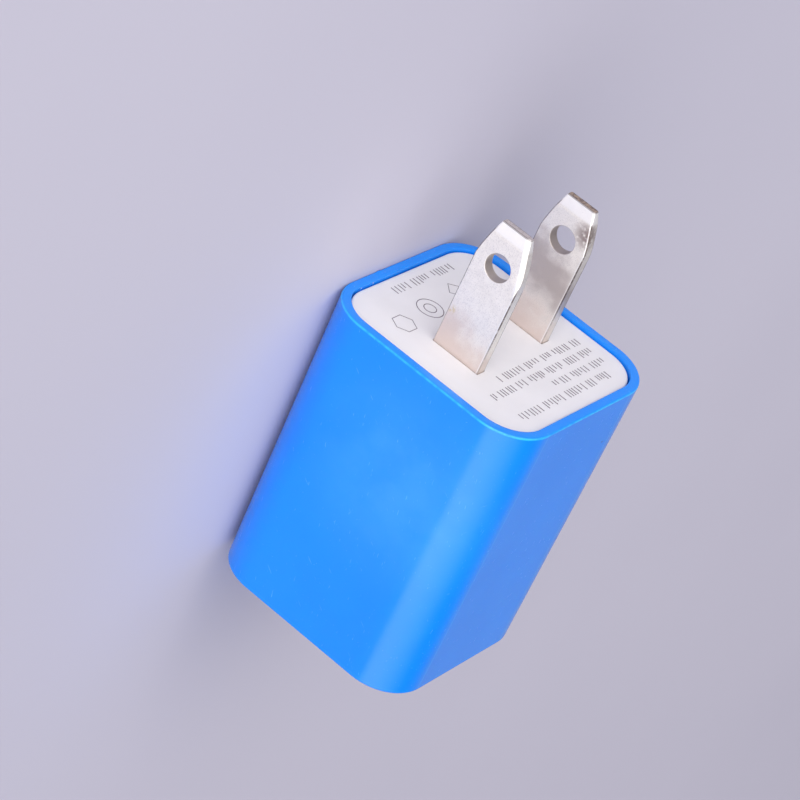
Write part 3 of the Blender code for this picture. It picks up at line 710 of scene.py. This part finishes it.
class Nodes:
    """A short way to write a material's node tree. Positions are in millimetres of the object."""

    def __init__(self, name):
        self.material = bpy.data.materials.new(name)
        self.material.use_nodes = True
        self.tree = self.material.node_tree
        self.shader = self.tree.nodes["Principled BSDF"]
        coordinates = self.tree.nodes.new("ShaderNodeTexCoord")
        scale = self.tree.nodes.new("ShaderNodeVectorMath")
        scale.operation = "SCALE"
        scale.inputs["Scale"].default_value = 1 / MM
        self.tree.links.new(coordinates.outputs["Object"], scale.inputs[0])
        self.place = scale.outputs[0]

    def put(self, socket, value):
        """Links a socket to a node's output, or sets it to a number or a colour."""
        if isinstance(value, bpy.types.NodeSocket):
            self.tree.links.new(value, socket)
        elif isinstance(value, tuple) and len(value) == 3 and socket.type == "RGBA":
            socket.default_value = (*value, 1.0)
        else:
            socket.default_value = value

    def set(self, **values):
        """Sets the shader's own sockets by name, with _ for a space."""
        for name, value in values.items():
            self.put(self.shader.inputs[name.replace("_", " ")], value)

    def maths(self, operation, first, second=0.0):
        node = self.tree.nodes.new("ShaderNodeMath")
        node.operation = operation
        self.put(node.inputs[0], first)
        self.put(node.inputs[1], second)
        return node.outputs[0]

    def times(self, first, *others):
        for other in others:
            first = self.maths("MULTIPLY", first, other)
        return first

    def vector(self, operation, first, second=(0.0, 0.0, 0.0)):
        node = self.tree.nodes.new("ShaderNodeVectorMath")
        node.operation = operation
        self.put(node.inputs[0], first)
        self.put(node.inputs[1], second)
        return node.outputs["Value"] if operation in ("DISTANCE", "LENGTH") else node.outputs[0]

    def stretched(self, x, y, z):
        """The place on the object, multiplied along each axis. 0 flattens an axis."""
        return self.vector("MULTIPLY", self.place, (x, y, z))

    def noise(self, scale, detail=2.0, roughness=0.5, place=None):
        node = self.tree.nodes.new("ShaderNodeTexNoise")
        self.put(node.inputs["Vector"], place or self.place)
        node.inputs["Scale"].default_value = scale
        node.inputs["Detail"].default_value = detail
        node.inputs["Roughness"].default_value = roughness
        return node.outputs["Fac"]

    def cells(self, scale, feature="F1", place=None):
        """The distance to the nearest of many scattered points, or to a cell's border."""
        node = self.tree.nodes.new("ShaderNodeTexVoronoi")
        node.feature = feature
        self.put(node.inputs["Vector"], place or self.place)
        node.inputs["Scale"].default_value = scale
        return node.outputs["Distance"]

    def spread(self, value, low, high, to_low=0.0, to_high=1.0):
        """A value from low..high carried smoothly to to_low..to_high."""
        node = self.tree.nodes.new("ShaderNodeMapRange")
        node.interpolation_type = "SMOOTHSTEP"
        self.put(node.inputs["Value"], value)
        node.inputs["From Min"].default_value = low
        node.inputs["From Max"].default_value = high
        node.inputs["To Min"].default_value = to_low
        node.inputs["To Max"].default_value = to_high
        return node.outputs["Result"]

    def mix(self, factor, first, second):
        """The first colour where the factor is 0, and the second where it is 1."""
        node = self.tree.nodes.new("ShaderNodeMix")
        node.data_type = "RGBA"
        sockets = [socket for socket in node.inputs if socket.type == "RGBA"]
        self.put(node.inputs["Factor"], factor)
        self.put(sockets[0], first)
        self.put(sockets[1], second)
        return next(socket for socket in node.outputs if socket.type == "RGBA")

    def axis(self, name):
        node = self.tree.nodes.new("ShaderNodeSeparateXYZ")
        self.put(node.inputs[0], self.place)
        return node.outputs[name]

    def spot(self, centre, radius, soft=0.3, place=None):
        """1 within a ball and 0 outside it. Its border is soft by this share of its radius."""
        distance = self.vector("DISTANCE", place or self.place, centre)
        return self.spread(distance, radius * (1 - soft), radius * (1 + soft), 1.0, 0.0)

    def band(self, value, middle, half, soft):
        """1 where a value is within half of the middle, fading out over the soft distance."""
        off = self.maths("ABSOLUTE", self.maths("SUBTRACT", value, middle))
        return self.spread(off, half, half + soft, 1.0, 0.0)

    def lines(self, scale, width, place, keep, keep_scale=0.35):
        """Thin broken lines along the borders of stretched cells."""
        line = self.spread(self.cells(scale, "DISTANCE_TO_EDGE", place), 0.0, width, 1.0, 0.0)
        kept = self.spread(self.noise(keep_scale, 1.0), keep, keep + 0.06)
        return self.times(line, kept)

    def streaks(self, turn, across, along, keep):
        """Short straight hairlines that all lie one way."""
        node = self.tree.nodes.new("ShaderNodeVectorRotate")
        node.rotation_type = "EULER_XYZ"
        self.put(node.inputs["Vector"], self.place)
        node.inputs["Rotation"].default_value = turn
        place = self.vector("MULTIPLY", node.outputs[0], (across, along, across))
        return self.spread(self.noise(1.0, 1.0, 0.5, place), keep, keep + 0.05)

    def bump(self, height, strength, distance):
        node = self.tree.nodes.new("ShaderNodeBump")
        node.inputs["Strength"].default_value = strength
        node.inputs["Distance"].default_value = distance
        self.put(node.inputs["Height"], height)
        self.set(Normal=node.outputs["Normal"])


# Materials


def casing_plastic():
    """Glossy azure plastic: a little cloudy, with hairline scratches, dust and inclusions, a
    painted sheen on one side, and painted highlights on the rim and where the top meets its
    corners.
    """
    n = Nodes("casing_plastic_azure")
    flat = (HALF_SIDE - CORNER_RADIUS) / MM
    corner = CORNER_RADIUS / MM
    colour = n.mix(n.spread(n.noise(0.1, 2.0), 0.3, 0.7), *AZURE)
    # Painted sheen: a soft lighter patch on the casing's -X side, standing in for a reflection
    painted_sheen = n.spread(n.noise(0.25, 3.0), 0.25, 0.7, 0.5, 1.0)
    painted_sheen = n.times(n.spot(PAINTED_SHEEN_AT, PAINTED_SHEEN_RADIUS, 0.9), painted_sheen)
    colour = n.mix(n.times(painted_sheen, 0.5), colour, (0.06, 0.36, 1.0))

    # How far a point is from the middle of its corner's arc tells the outside from the inside
    out = n.vector("ABSOLUTE", n.stretched(1.0, 0.0, 1.0))
    out = n.vector("SUBTRACT", out, (flat, 0.0, flat))
    out = n.vector("LENGTH", n.vector("MAXIMUM", out))
    outside = n.spread(out, corner - 0.5, corner - 0.3)

    # Painted light: the rim is lighter where it faces the light, with a painted highlight line
    # along its outer edge
    rim = n.spread(n.axis("Y"), -0.5, -0.1)
    colour = n.mix(n.times(rim, 0.5), colour, (0.006, 0.3, 1.0))
    # Painted highlight along the rim's outer rounding
    edge = n.times(n.band(n.axis("Y"), -0.17, 0.05, 0.09), outside)
    edge = n.times(edge, n.spread(n.noise(1.4, 3.0), 0.3, 0.6, 0.2, 0.65))
    colour = n.mix(edge, colour, (0.05, 0.6, 1.0))

    # A painted highlight line where the top meets its corners
    painted_crease_highlight = n.band(n.maths("ABSOLUTE", n.axis("X")), flat - 0.12, 0.03, 0.14)
    painted_crease_highlight = n.times(painted_crease_highlight, outside, n.spread(n.axis("Z"), flat, flat + 4.0))
    colour = n.mix(n.times(painted_crease_highlight, 0.35), colour, (0.05, 0.4, 1.0))

    scratches = 0.0
    for turn, keep in SCRATCHES:
        scratches = n.maths("MAXIMUM", n.streaks(turn, 7.0, 0.35, keep), scratches)
    dust = n.spread(n.cells(1.3), 0.03, 0.05, 1.0, 0.0)
    dust = n.times(dust, n.spread(n.noise(0.25, 2.0), 0.45, 0.65))
    marks = n.maths("MAXIMUM", n.times(scratches, 0.2), n.times(dust, 0.45))
    colour = n.mix(marks, colour, (0.2, 0.6, 1.0))
    for centre in NICKS:
        colour = n.mix(n.spot(centre, NICK_RADIUS), colour, (0.8, 0.88, 1.0))
    for centre in SPECKS:
        colour = n.mix(n.spot(centre, SPECK_RADIUS), colour, (0.004, 0.03, 0.12))

    roughness = n.spread(n.noise(0.3, 4.0, 0.6), 0.3, 0.7, 0.13, 0.21)
    roughness = n.maths("ADD", roughness, n.times(scratches, 0.25))
    n.set(Base_Color=colour, Roughness=roughness, IOR=1.5, Subsurface_Weight=0.15)
    n.set(Subsurface_Radius=(0.25, 0.6, 1.0), Subsurface_Scale=0.0007)
    n.bump(n.maths("SUBTRACT", n.times(n.noise(9.0, 2.0), 0.35), scratches), 0.08, 0.00002)
    return n.material


def cover_plastic():
    """Off-white satin plastic with a fine moulded grain and faint rubs."""
    n = Nodes("cover_plastic_white")
    colour = n.mix(n.spread(n.noise(0.18, 3.0), 0.3, 0.7), *COVER_WHITE)
    rubs = n.lines(0.45, 0.006, n.stretched(0.6, 1.0, 1.0), 0.55)
    dust = n.spread(n.cells(1.3), 0.03, 0.05, 1.0, 0.0)
    colour = n.mix(n.times(dust, 0.25), colour, (0.45, 0.42, 0.42))
    roughness = n.spread(n.noise(0.8, 3.0), 0.3, 0.7, 0.38, 0.5)
    roughness = n.maths("SUBTRACT", roughness, n.times(rubs, 0.12))
    n.set(Base_Color=colour, Roughness=roughness, IOR=1.47, Subsurface_Weight=0.1)
    n.set(Subsurface_Radius=(1.0, 0.9, 0.8), Subsurface_Scale=0.0005)
    n.bump(n.maths("ADD", n.noise(14.0, 2.0), n.times(rubs, -0.5)), 0.12, 0.00002)
    return n.material


def print_ink():
    """Thin grey ink, worn in places."""
    n = Nodes("print_ink_grey")
    worn = n.spread(n.noise(5.0, 3.0, 0.7), 0.35, 0.75)
    n.set(Base_Color=n.mix(worn, *INK_GREY), Roughness=n.spread(worn, 0, 1, 0.45, 0.6))
    n.bump(n.noise(20.0), 0.15, 0.00001)
    return n.material


def blade_metal():
    """Satin nickel plate: stamped grain, coined edges with a painted highlight, a painted warm
    reflection and shade at the root, a brown cut end.
    """
    n = Nodes("blade_metal_nickel")
    x, y, z = (n.axis(name) for name in "XYZ")
    right = n.spread(x, -1.0, 1.0)
    left = n.spread(x, -1.0, 1.0, 1.0, 0.0)
    from_middle = n.maths("ABSOLUTE", n.maths("SUBTRACT", n.maths("ABSOLUTE", x), BLADE_X / MM))
    flat_side = n.spread(from_middle, 0.5, 0.6)

    # How far a point is from the blade's own edge, which tapers
    taper = n.maths("SUBTRACT", y, TAPER_START / MM)
    taper = n.maths("DIVIDE", taper, (BLADE_TIP - TAPER_START) / MM)
    taper = n.maths("POWER", n.maths("MAXIMUM", taper, 0.0), TAPER_POWER)
    inwards = n.times(taper, (BLADE_HALF_WIDTH - TIP_HALF_WIDTH) / MM)
    to_edge = n.maths("SUBTRACT", BLADE_HALF_WIDTH / MM, inwards)
    to_edge = n.maths("SUBTRACT", to_edge, n.maths("ABSOLUTE", z))

    mottle = n.noise(1.6, 5.0, 0.65)
    grain = n.noise(8.0, 3.0, 0.8, n.stretched(1.0, 0.7, 1.0))
    colour = n.mix(n.spread(mottle, 0.3, 0.7), *NICKEL)
    colour = n.mix(n.times(n.spread(grain, 0.5, 0.64), 0.5), colour, (0.66, 0.63, 0.61))
    # Painted warm reflection and shade: the blade is tinted warmer and darker towards its root
    root = n.maths("ADD", y, n.spread(n.noise(0.5, 2.0), 0.2, 0.8, -1.2, 1.2))
    root = n.maths("ADD", root, n.times(z, 0.4))
    colour = n.mix(n.spread(root, 0.0, 5.5, 0.9, 0.0), colour, (0.77, 0.65, 0.585))

    # The right blade is darker between its root and its hole, a painted dark reflection, and
    # smudged beside the hole
    darkened = n.times(n.band(root, 7.2, 0.6, 4.2), right)
    colour = n.mix(n.times(darkened, 0.85), colour, (0.5, 0.44, 0.42))
    smudge = n.spread(n.noise(2.0, 4.0), 0.25, 0.55)
    smudge = n.times(n.spot(SMUDGE_AT, SMUDGE_RADIUS, 0.8), smudge)
    colour = n.mix(n.times(smudge, 0.85), colour, (0.28, 0.2, 0.18))

    # Coined bands across the tip and along the left blade's tapered edge, painted near-white as a
    # painted highlight, and a painted glint line just inside the edge
    tip_band = n.spread(y, *TIP_BAND)
    side_band = n.times(n.spread(to_edge, 0.45, 0.65, 1.0, 0.0), n.spread(y, 9.5, 11.5))
    side_band = n.times(side_band, left, n.spread(z, 0.0, 0.5))
    side_band = n.times(side_band, n.maths("MAXIMUM", flat_side, tip_band))
    coined = n.maths("MAXIMUM", tip_band, side_band)
    # Painted highlight: the coined bands are whitened
    colour = n.mix(n.times(coined, 0.85), colour, (1.0, 0.985, 0.97))
    glint = n.times(n.band(to_edge, 0.17, 0.02, 0.06), flat_side, n.spread(z, 0.0, 0.5))
    colour = n.mix(n.times(glint, 0.6), colour, (1.0, 1.0, 1.0))

    # Dark lines along the edges, except where they are coined, and darker walls of the holes
    dark_edge_line = n.times(n.band(to_edge, 0.03, 0.035, 0.05), flat_side)
    dark_edge_line = n.times(dark_edge_line, n.spread(n.noise(2.5, 3.0), 0.3, 0.5, 0.45, 0.95))
    shiny = n.times(left, n.spread(z, -0.5, 0.5), n.spread(y, 10.0, 12.0))
    dark_edge_line = n.times(dark_edge_line, n.maths("SUBTRACT", 1.0, shiny))
    dark_edge_line = n.times(dark_edge_line, n.spread(y, 1.0, 6.0, 0.4, 1.0))
    colour = n.mix(dark_edge_line, colour, (0.1, 0.075, 0.07))
    hole = (0.0, HOLE_HEIGHT / MM, 0.0)
    punched = n.spot(hole, HOLE_RADIUS / MM + 0.04, 0.01, n.stretched(0.0, 1.0, 1.0))
    colour = n.mix(n.times(punched, 0.8), colour, (0.4, 0.34, 0.31))

    # The cut ends, browner on the right blade, with a dark border
    cut = n.mix(right, (0.62, 0.56, 0.54), (0.42, 0.3, 0.2))
    torn = n.mix(right, (0.5, 0.44, 0.42), (0.14, 0.08, 0.06))
    cut = n.mix(n.spread(n.noise(3.0, 2.0), 0.45, 0.6), cut, torn)
    cut = n.mix(n.spread(from_middle, 0.28, 0.34, 0.0, 0.8), cut, (0.1, 0.07, 0.06))
    border = n.band(y, 16.5, 0.03, 0.04)
    colour = n.mix(n.times(border, 0.6), colour, (0.12, 0.09, 0.08))
    colour = n.mix(n.spread(y, 16.53, 16.58, 0.0, 0.9), colour, cut)

    scuff = n.times(n.spot(SCUFF_AT, SCUFF_RADIUS, 0.6), n.spread(n.noise(3.5), 0.4, 0.6))
    colour = n.mix(n.times(scuff, 0.7), colour, (0.75, 0.62, 0.35))
    pits = n.spread(n.cells(1.1), 0.03, 0.06, 1.0, 0.0)
    colour = n.mix(n.times(pits, 0.3), colour, (0.4, 0.36, 0.34))
    roughness = n.spread(mottle, 0.25, 0.75, 0.38, 0.5)
    metallic = n.spread(coined, 0.0, 1.0, 0.74, 0.6)
    n.set(Base_Color=colour, Metallic=metallic, Roughness=roughness)
    n.bump(n.maths("ADD", grain, n.times(mottle, 0.4)), 0.4, 0.00003)
    return n.material


def tinned_steel():
    """Drawn tinplate with a dull bloom."""
    n = Nodes("shield_metal_tin")
    drawn = n.noise(3.0, 4.0, 0.6, n.stretched(3.0, 0.15, 3.0))
    colour = n.mix(n.spread(drawn, 0.3, 0.7), *TIN)
    darkened = n.spread(n.noise(0.6, 3.0), 0.4, 0.7)
    colour = n.mix(n.times(darkened, 0.3), colour, (0.42, 0.41, 0.4))
    n.set(Base_Color=colour, Metallic=1.0, Roughness=n.spread(drawn, 0.2, 0.8, 0.3, 0.42))
    n.bump(drawn, 0.05, 0.00002)
    return n.material


def socket_plastic():
    """White plastic with a moulded grain."""
    n = Nodes("socket_plastic_white")
    cloud = n.spread(n.noise(0.7, 3.0), 0.3, 0.7)
    n.set(Base_Color=n.mix(cloud, *SOCKET_WHITE))
    n.set(Roughness=n.spread(cloud, 0, 1, 0.42, 0.52), Subsurface_Weight=0.05)
    n.bump(n.noise(10.0, 3.0), 0.15, 0.00002)
    return n.material


def wound(n, colour):
    """Turns of enamelled wire: along X on the transformer and along Z on the choke."""
    x = n.axis("X")
    along = n.times(x, n.spread(x, 3.0, 5.0, 1.0, 0.0))
    along = n.maths("ADD", along, n.times(n.axis("Z"), n.spread(x, 3.0, 5.0)))
    turn = n.maths("ABSOLUTE", n.maths("SINE", n.times(along, math.pi / WIRE_PITCH)))
    return n.mix(n.spread(turn, 0.0, 0.45, 0.75, 0.0), colour, (0.16, 0.04, 0.015)), turn


def sleeved(n, colour):
    """The cans' pale stripe and their bare tops."""
    input_can = n.spread(n.axis("Y"), -17.1, -16.9)
    top = n.times(input_can, INPUT_CAN_TOP - OUTPUT_CAN_TOP)
    top = n.maths("ADD", top, OUTPUT_CAN_TOP)
    bare = n.spread(n.maths("SUBTRACT", n.axis("Z"), top), -0.12, -0.05)
    flat = n.stretched(1, 1, 0)
    radius = n.maths("MINIMUM", *(n.vector("DISTANCE", flat, (x, y, 0)) for x, y in CANS))
    bare = n.times(bare, n.spread(radius, CAN_TOP_RADIUS, CAN_TOP_RADIUS + 0.1, 1.0, 0.0))
    stripe = n.spread(n.axis("X"), 4.7, 4.8, 1.0, 0.0)
    colour = n.mix(stripe, colour, (0.55, 0.56, 0.6))
    return n.mix(bare, colour, (0.7, 0.7, 0.71)), bare


def printed(n, colour):
    """Tracks and tinned pads of a circuit board."""
    lengthwise = n.spread(n.noise(0.22, 0.0), 0.49, 0.51)
    tracks = 0.0
    for name, share in (("X", lengthwise), ("Y", n.maths("SUBTRACT", 1.0, lengthwise))):
        place = n.maths("ADD", n.maths("DIVIDE", n.axis(name), TRACK_PITCH), 50.0)
        place = n.maths("FRACT", place)
        tracks = n.maths("ADD", n.times(n.band(place, 0.5, 0.2, 0.04), share), tracks)
    pads = n.spread(n.cells(0.42, place=n.stretched(1.0, 1.0, 0.0)), 0.14, 0.16, 1.0, 0.0)
    colour = n.mix(n.times(tracks, 0.6), colour, (0.09, 0.42, 0.16))
    return n.mix(n.times(pads, 0.9), colour, (0.62, 0.62, 0.6)), tracks


def ringed(n, colour):
    """Four plain bands round the resistor, and its tinned leads."""
    paints = ((0.3, 0.12, 0.03), (0.02, 0.02, 0.02)) * 2
    for place, paint in zip(RESISTOR_BANDS, paints):
        colour = n.mix(n.band(n.axis("X"), place, 0.18, 0.04), colour, paint)
    reach = n.maths("ABSOLUTE", n.maths("SUBTRACT", n.axis("X"), RESISTOR_MIDDLE))
    lead = n.spread(reach, RESISTOR_REACH, RESISTOR_REACH + 0.05)
    return n.mix(lead, colour, (0.66, 0.66, 0.66)), n.noise(6.0)


def lapped(n, colour):
    """Edges of tape layers that lie over each other."""
    turn = n.maths("DIVIDE", n.maths("ADD", n.axis("X"), 20.0), TAPE_PITCH)
    edge = n.spread(n.maths("FRACT", turn), 0.0, 0.06, 1.0, 0.0)
    colour = n.mix(n.times(edge, 0.5), colour, (0.42, 0.28, 0.02))
    return colour, n.maths("SUBTRACT", 1.0, edge)


# Each pattern gives a colour and a height. A sleeve's height is 1 on bare metal
PATTERNS = {
    "copper": wound,
    "capacitor_sleeve": sleeved,
    "board_laminate": printed,
    "resistor_coating": ringed,
    "winding_tape": lapped,
}


def inner_material(slot, dark, light, rough, metallic, grain, relief):
    """A part inside the casing: two shades, uneven gloss, a grain and, on some, a pattern."""
    n = Nodes(slot + "_detail")
    tone = n.noise(grain, 4.0, 0.6)
    broad = n.noise(grain / 6, 2.0)
    share = n.maths("ADD", n.times(tone, 0.6), n.times(broad, 0.4))
    colour = n.mix(n.spread(share, 0.35, 0.65), dark, light)
    height = tone
    if slot in PATTERNS:
        colour, pattern = PATTERNS[slot](n, colour)
        height = n.maths("ADD", n.times(tone, 0.3), pattern)
        if slot == "capacitor_sleeve":
            metallic = pattern
    n.set(Base_Color=colour, Metallic=metallic)
    n.set(Roughness=n.spread(tone, 0.25, 0.75, rough - 0.06, rough + 0.08))
    n.bump(height, relief, 0.00003)
    return n.material


# Darker shade, lighter shade, roughness, metallic, grain's scale and bump's strength
INNER_SLOTS = {
    "contact_metal": ((0.75, 0.5, 0.18), (0.9, 0.7, 0.35), 0.24, 1.0, 6.0, 0.1),
    "wire_insulation": ((0.42, 0.02, 0.015), (0.6, 0.04, 0.03), 0.45, 0.0, 3.0, 0.15),
    "board_laminate": ((0.02, 0.16, 0.06), (0.04, 0.25, 0.09), 0.4, 0.0, 2.5, 0.2),
    "ferrite": ((0.03, 0.03, 0.033), (0.09, 0.09, 0.095), 0.6, 0.0, 8.0, 0.4),
    "bobbin_plastic": ((0.015, 0.015, 0.015), (0.04, 0.04, 0.04), 0.5, 0.0, 5.0, 0.2),
    "copper": ((0.5, 0.17, 0.06), (0.8, 0.36, 0.16), 0.28, 1.0, 5.0, 0.3),
    "winding_tape": ((0.62, 0.45, 0.04), (0.82, 0.64, 0.1), 0.35, 0.0, 1.5, 0.25),
    "capacitor_sleeve": ((0.012, 0.016, 0.05), (0.03, 0.04, 0.1), 0.3, 0.0, 1.5, 0.12),
    "ceramic_coating": ((0.03, 0.13, 0.4), (0.06, 0.22, 0.6), 0.4, 0.0, 2.5, 0.25),
    "resistor_coating": ((0.28, 0.42, 0.3), (0.4, 0.55, 0.4), 0.5, 0.0, 4.0, 0.25),
    "component_epoxy": ((0.012, 0.012, 0.013), (0.03, 0.03, 0.032), 0.5, 0.0, 9.0, 0.3),
}


def dress_inner_nodes():
    """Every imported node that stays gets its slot's detailed material."""
    materials = {slot: inner_material(slot, *values) for slot, values in INNER_SLOTS.items()}
    for part in frame["record"]["subparts"]:
        if part["material_slot"] not in materials:
            continue
        node = frame["nodes"][part["node"]]
        if not node.material_slots:
            node.data.materials.append(None)
        for index in range(len(node.material_slots)):
            node.material_slots[index].material = materials[part["material_slot"]]


# Stage


def floor_material():
    """Matt and pale, with slow changes of shade."""
    n = Nodes("floor_pale")
    cloud = n.spread(n.noise(0.012, 2.0), 0.3, 0.7)
    n.set(Base_Color=n.mix(cloud, *FLOOR_GREY), Roughness=0.85, Specular_IOR_Level=0.2)
    return n.material


def make_floor():
    bm = bmesh.new()
    place = Matrix.Translation((0, 0, CASING_LOW.z))
    bmesh.ops.create_grid(bm, x_segments=8, y_segments=8, size=FLOOR_HALF, matrix=place)
    floor = new_object("floor", bm)
    floor.data.materials.append(floor_material())


def add_area(name, towards, distance, size, energy, colour):
    """A square soft light that faces the charger from a direction."""
    light = bpy.data.lights.new(name, "AREA")
    light.shape = "SQUARE"
    light.size = size
    light.energy = energy
    light.color = colour
    lamp = bpy.data.objects.new(name, light)
    bpy.context.scene.collection.objects.link(lamp)
    direction = Vector(towards).normalized()
    lamp.location = direction * distance
    lamp.rotation_euler = direction.to_track_quat("Z", "Y").to_euler()


def make_lights():
    for light in LIGHTS:
        add_area(*light)


def smooth_range(tree, value, low, high, top=1.0):
    """0 below low, top above high, and a smooth climb between them."""
    node = tree.nodes.new("ShaderNodeMapRange")
    node.interpolation_type = "SMOOTHSTEP"
    tree.links.new(value, node.inputs["Value"])
    node.inputs["From Min"].default_value = low
    node.inputs["From Max"].default_value = high
    node.inputs["To Max"].default_value = top
    return node.outputs["Result"]


def make_world():
    """A pale room, brightest low down, with a wide soft glow on one side."""
    world = bpy.data.worlds.new("studio")
    bpy.context.scene.world = world
    world.use_nodes = True
    tree = world.node_tree
    background = tree.nodes["Background"]
    coordinates = tree.nodes.new("ShaderNodeTexCoord").outputs["Generated"]
    height = tree.nodes.new("ShaderNodeSeparateXYZ")
    tree.links.new(coordinates, height.inputs[0])
    ramp = tree.nodes.new("ShaderNodeValToRGB")
    tree.links.new(height.outputs["Z"], ramp.inputs["Fac"])
    stops = ramp.color_ramp.elements
    stops[0].color = WORLD_LOW
    stops[1].position = MIDDLE_STOP
    stops[1].color = WORLD_MIDDLE
    stops.new(TOP_STOP).color = WORLD_TOP

    off_side = tree.nodes.new("ShaderNodeVectorMath")
    off_side.operation = "DOT_PRODUCT"
    off_side.inputs[1].default_value = Vector(GLOW_TOWARDS).normalized()
    tree.links.new(coordinates, off_side.inputs[0])
    soft_glow = tree.nodes.new("ShaderNodeMath")
    soft_glow.operation = "MULTIPLY"
    glow = smooth_range(tree, off_side.outputs["Value"], GLOW_FROM, 1.0, GLOW_STRENGTH)
    tree.links.new(glow, soft_glow.inputs[0])
    tree.links.new(smooth_range(tree, height.outputs["Z"], *GLOW_LIFT), soft_glow.inputs[1])
    lit = tree.nodes.new("ShaderNodeVectorMath")
    lit.operation = "MULTIPLY_ADD"
    lit.inputs[1].default_value = GLOW_COLOUR
    tree.links.new(soft_glow.outputs[0], lit.inputs[0])
    tree.links.new(ramp.outputs["Color"], lit.inputs[2])
    tree.links.new(lit.outputs[0], background.inputs["Color"])
    background.inputs["Strength"].default_value = WORLD_STRENGTH


def make_camera():
    camera = bpy.data.cameras.new("camera")
    camera.lens = CAMERA_LENS
    camera.sensor_width = CAMERA_SENSOR
    camera.clip_start, camera.clip_end = CAMERA_CLIP
    view = bpy.data.objects.new("camera", camera)
    bpy.context.scene.collection.objects.link(view)
    look, up = CAMERA_LOOK.normalized(), CAMERA_UP.normalized()
    right = look.cross(up).normalized()
    turn = Matrix((right, right.cross(look), -look)).transposed().to_4x4()
    view.matrix_world = Matrix.Translation(CAMERA_AT) @ turn
    bpy.context.scene.camera = view


def make_scene():
    make_camera()
    make_casing()
    make_cover()
    make_print()
    metal = blade_metal()
    make_blade("blade_left_skin", "blade_left", -BLADE_X, metal)
    make_blade("blade_right_skin", "blade_right", BLADE_X, metal)
    make_shield()
    make_housing()
    dress_inner_nodes()
    make_floor()
    make_lights()
    make_world()
    bpy.context.scene.view_settings.view_transform = "Standard"


make_scene()
